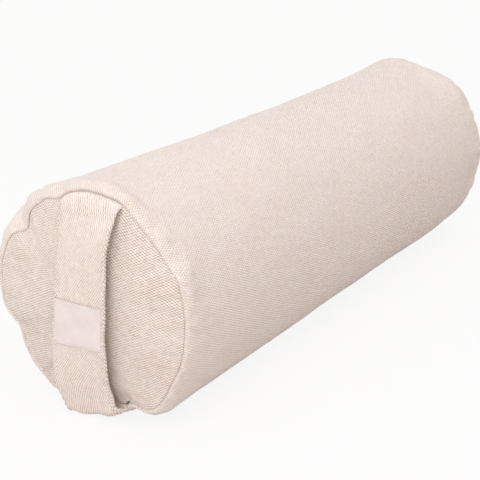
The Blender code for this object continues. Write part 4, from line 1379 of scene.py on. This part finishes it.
class BOLSTER_OT_stage(bpy.types.Operator):
    """Add the floor, the lights and the camera"""
    bl_idname = "bolster.stage"
    bl_label = "Stage"

    def execute(self, context):
        scene = context.scene
        stage = scene.bolster_stage
        bm = bmesh.new()
        bmesh.ops.create_grid(bm, x_segments=1, y_segments=1, size=6)
        floor = to_object("floor", bm)
        floor.data.materials.append(floor_material())
        world = bpy.data.worlds.new("sky")
        world.use_nodes = True
        scene.world = world
        tree = world.node_tree
        background = tree.nodes["Background"]
        rays = tree.nodes.new("ShaderNodeLightPath")
        seen = tree.nodes.new("ShaderNodeMath")
        seen.operation = "MAXIMUM"
        tree.links.new(rays.outputs["Is Camera Ray"], seen.inputs[0])
        tree.links.new(rays.outputs["Is Glossy Ray"], seen.inputs[1])
        page = tree.nodes.new("ShaderNodeMix")
        page.data_type = "RGBA"
        tree.links.new(seen.outputs[0], page.inputs[0])
        page.inputs[6].default_value = (*(stage.sky * share for share in SKY_TINT), 1)
        page.inputs[7].default_value = (1, 1, 1, 1)
        tree.links.new(page.outputs[2], background.inputs["Color"])

        for name, place, size, share, colour in LAMPS:
            data = bpy.data.lights.new(name, "AREA")
            data.size = size
            data.energy = stage.key * share
            data.color = colour
            lamp = bpy.data.objects.new(name, data)
            lamp.location = place
            aim = Vector(AIM) - Vector(place)
            lamp.rotation_euler = aim.to_track_quat("-Z", "Y").to_euler()
            scene.collection.objects.link(lamp)

        camera = bpy.data.objects.new("camera", bpy.data.cameras.new("camera"))
        camera.location = CAMERA_PLACE
        camera.rotation_euler = CAMERA_TURN
        camera.data.lens = stage.lens
        camera.data.sensor_width = 36
        scene.collection.objects.link(camera)
        scene.camera = camera
        scene.view_settings.view_transform = "Standard"
        return {"FINISHED"}


def floor_material():
    """White floor that reads as the page behind the object and keeps a soft shadow."""
    graph = Graph("white_floor")
    graph.shader.inputs["Roughness"].default_value = 0.9
    grain = graph.noise(graph.on_object(), 40.0)
    tint = graph.blend(graph.range(grain, 0.4, 0.6), (0.80, 0.765, 0.75), (0.81, 0.775, 0.76))
    graph.link(tint, "Base Color")
    rays = graph.node("ShaderNodeLightPath")
    glow = graph.node("ShaderNodeEmission", {"Color": (1, 1, 1), "Strength": 1.0})
    share = graph.math("MULTIPLY", rays.outputs["Is Camera Ray"], 0.88)
    mixed = graph.node("ShaderNodeMixShader", {0: share, 1: graph.shader.outputs[0], 2: glow.outputs[0]})
    graph.tree.links.new(mixed.outputs[0], graph.tree.nodes["Material Output"].inputs["Surface"])
    return graph.material


class BOLSTER_PT_panel(bpy.types.Panel):
    bl_label = "Round Yoga Bolster"
    bl_idname = "BOLSTER_PT_panel"
    bl_space_type = "VIEW_3D"
    bl_region_type = "UI"
    bl_category = "Bolster"

    def draw(self, context):
        scene = context.scene
        for group in (scene.bolster_shape, scene.bolster_cloth, scene.bolster_strap, scene.bolster_stage):
            box = self.layout.box()
            for name in group.bl_rna.properties.keys():
                if name not in ("rna_type", "name"):
                    box.prop(group, name)
        for operator in OPERATORS:
            self.layout.operator(operator.bl_idname)


SETTINGS = (("bolster_shape", BolsterShape), ("bolster_cloth", BolsterCloth), ("bolster_strap", BolsterStrap),
            ("bolster_stage", BolsterStage))
OPERATORS = (BOLSTER_OT_cover, BOLSTER_OT_inside, BOLSTER_OT_zip, BOLSTER_OT_strap,
             BOLSTER_OT_label, BOLSTER_OT_stage)


def register():
    for name, group in SETTINGS:
        bpy.utils.register_class(group)
        setattr(bpy.types.Scene, name, bpy.props.PointerProperty(type=group))
    for cls in (*OPERATORS, BOLSTER_PT_panel):
        bpy.utils.register_class(cls)


def unregister():
    for cls in (BOLSTER_PT_panel, *reversed(OPERATORS)):
        bpy.utils.unregister_class(cls)
    for name, group in reversed(SETTINGS):
        delattr(bpy.types.Scene, name)
        bpy.utils.unregister_class(group)


def main():
    register()
    bpy.ops.bolster.cover()
    bpy.ops.bolster.inside()
    bpy.ops.bolster.zip()
    bpy.ops.bolster.strap()
    bpy.ops.bolster.label()
    bpy.ops.bolster.stage()


if __name__ == "__main__":
    main()
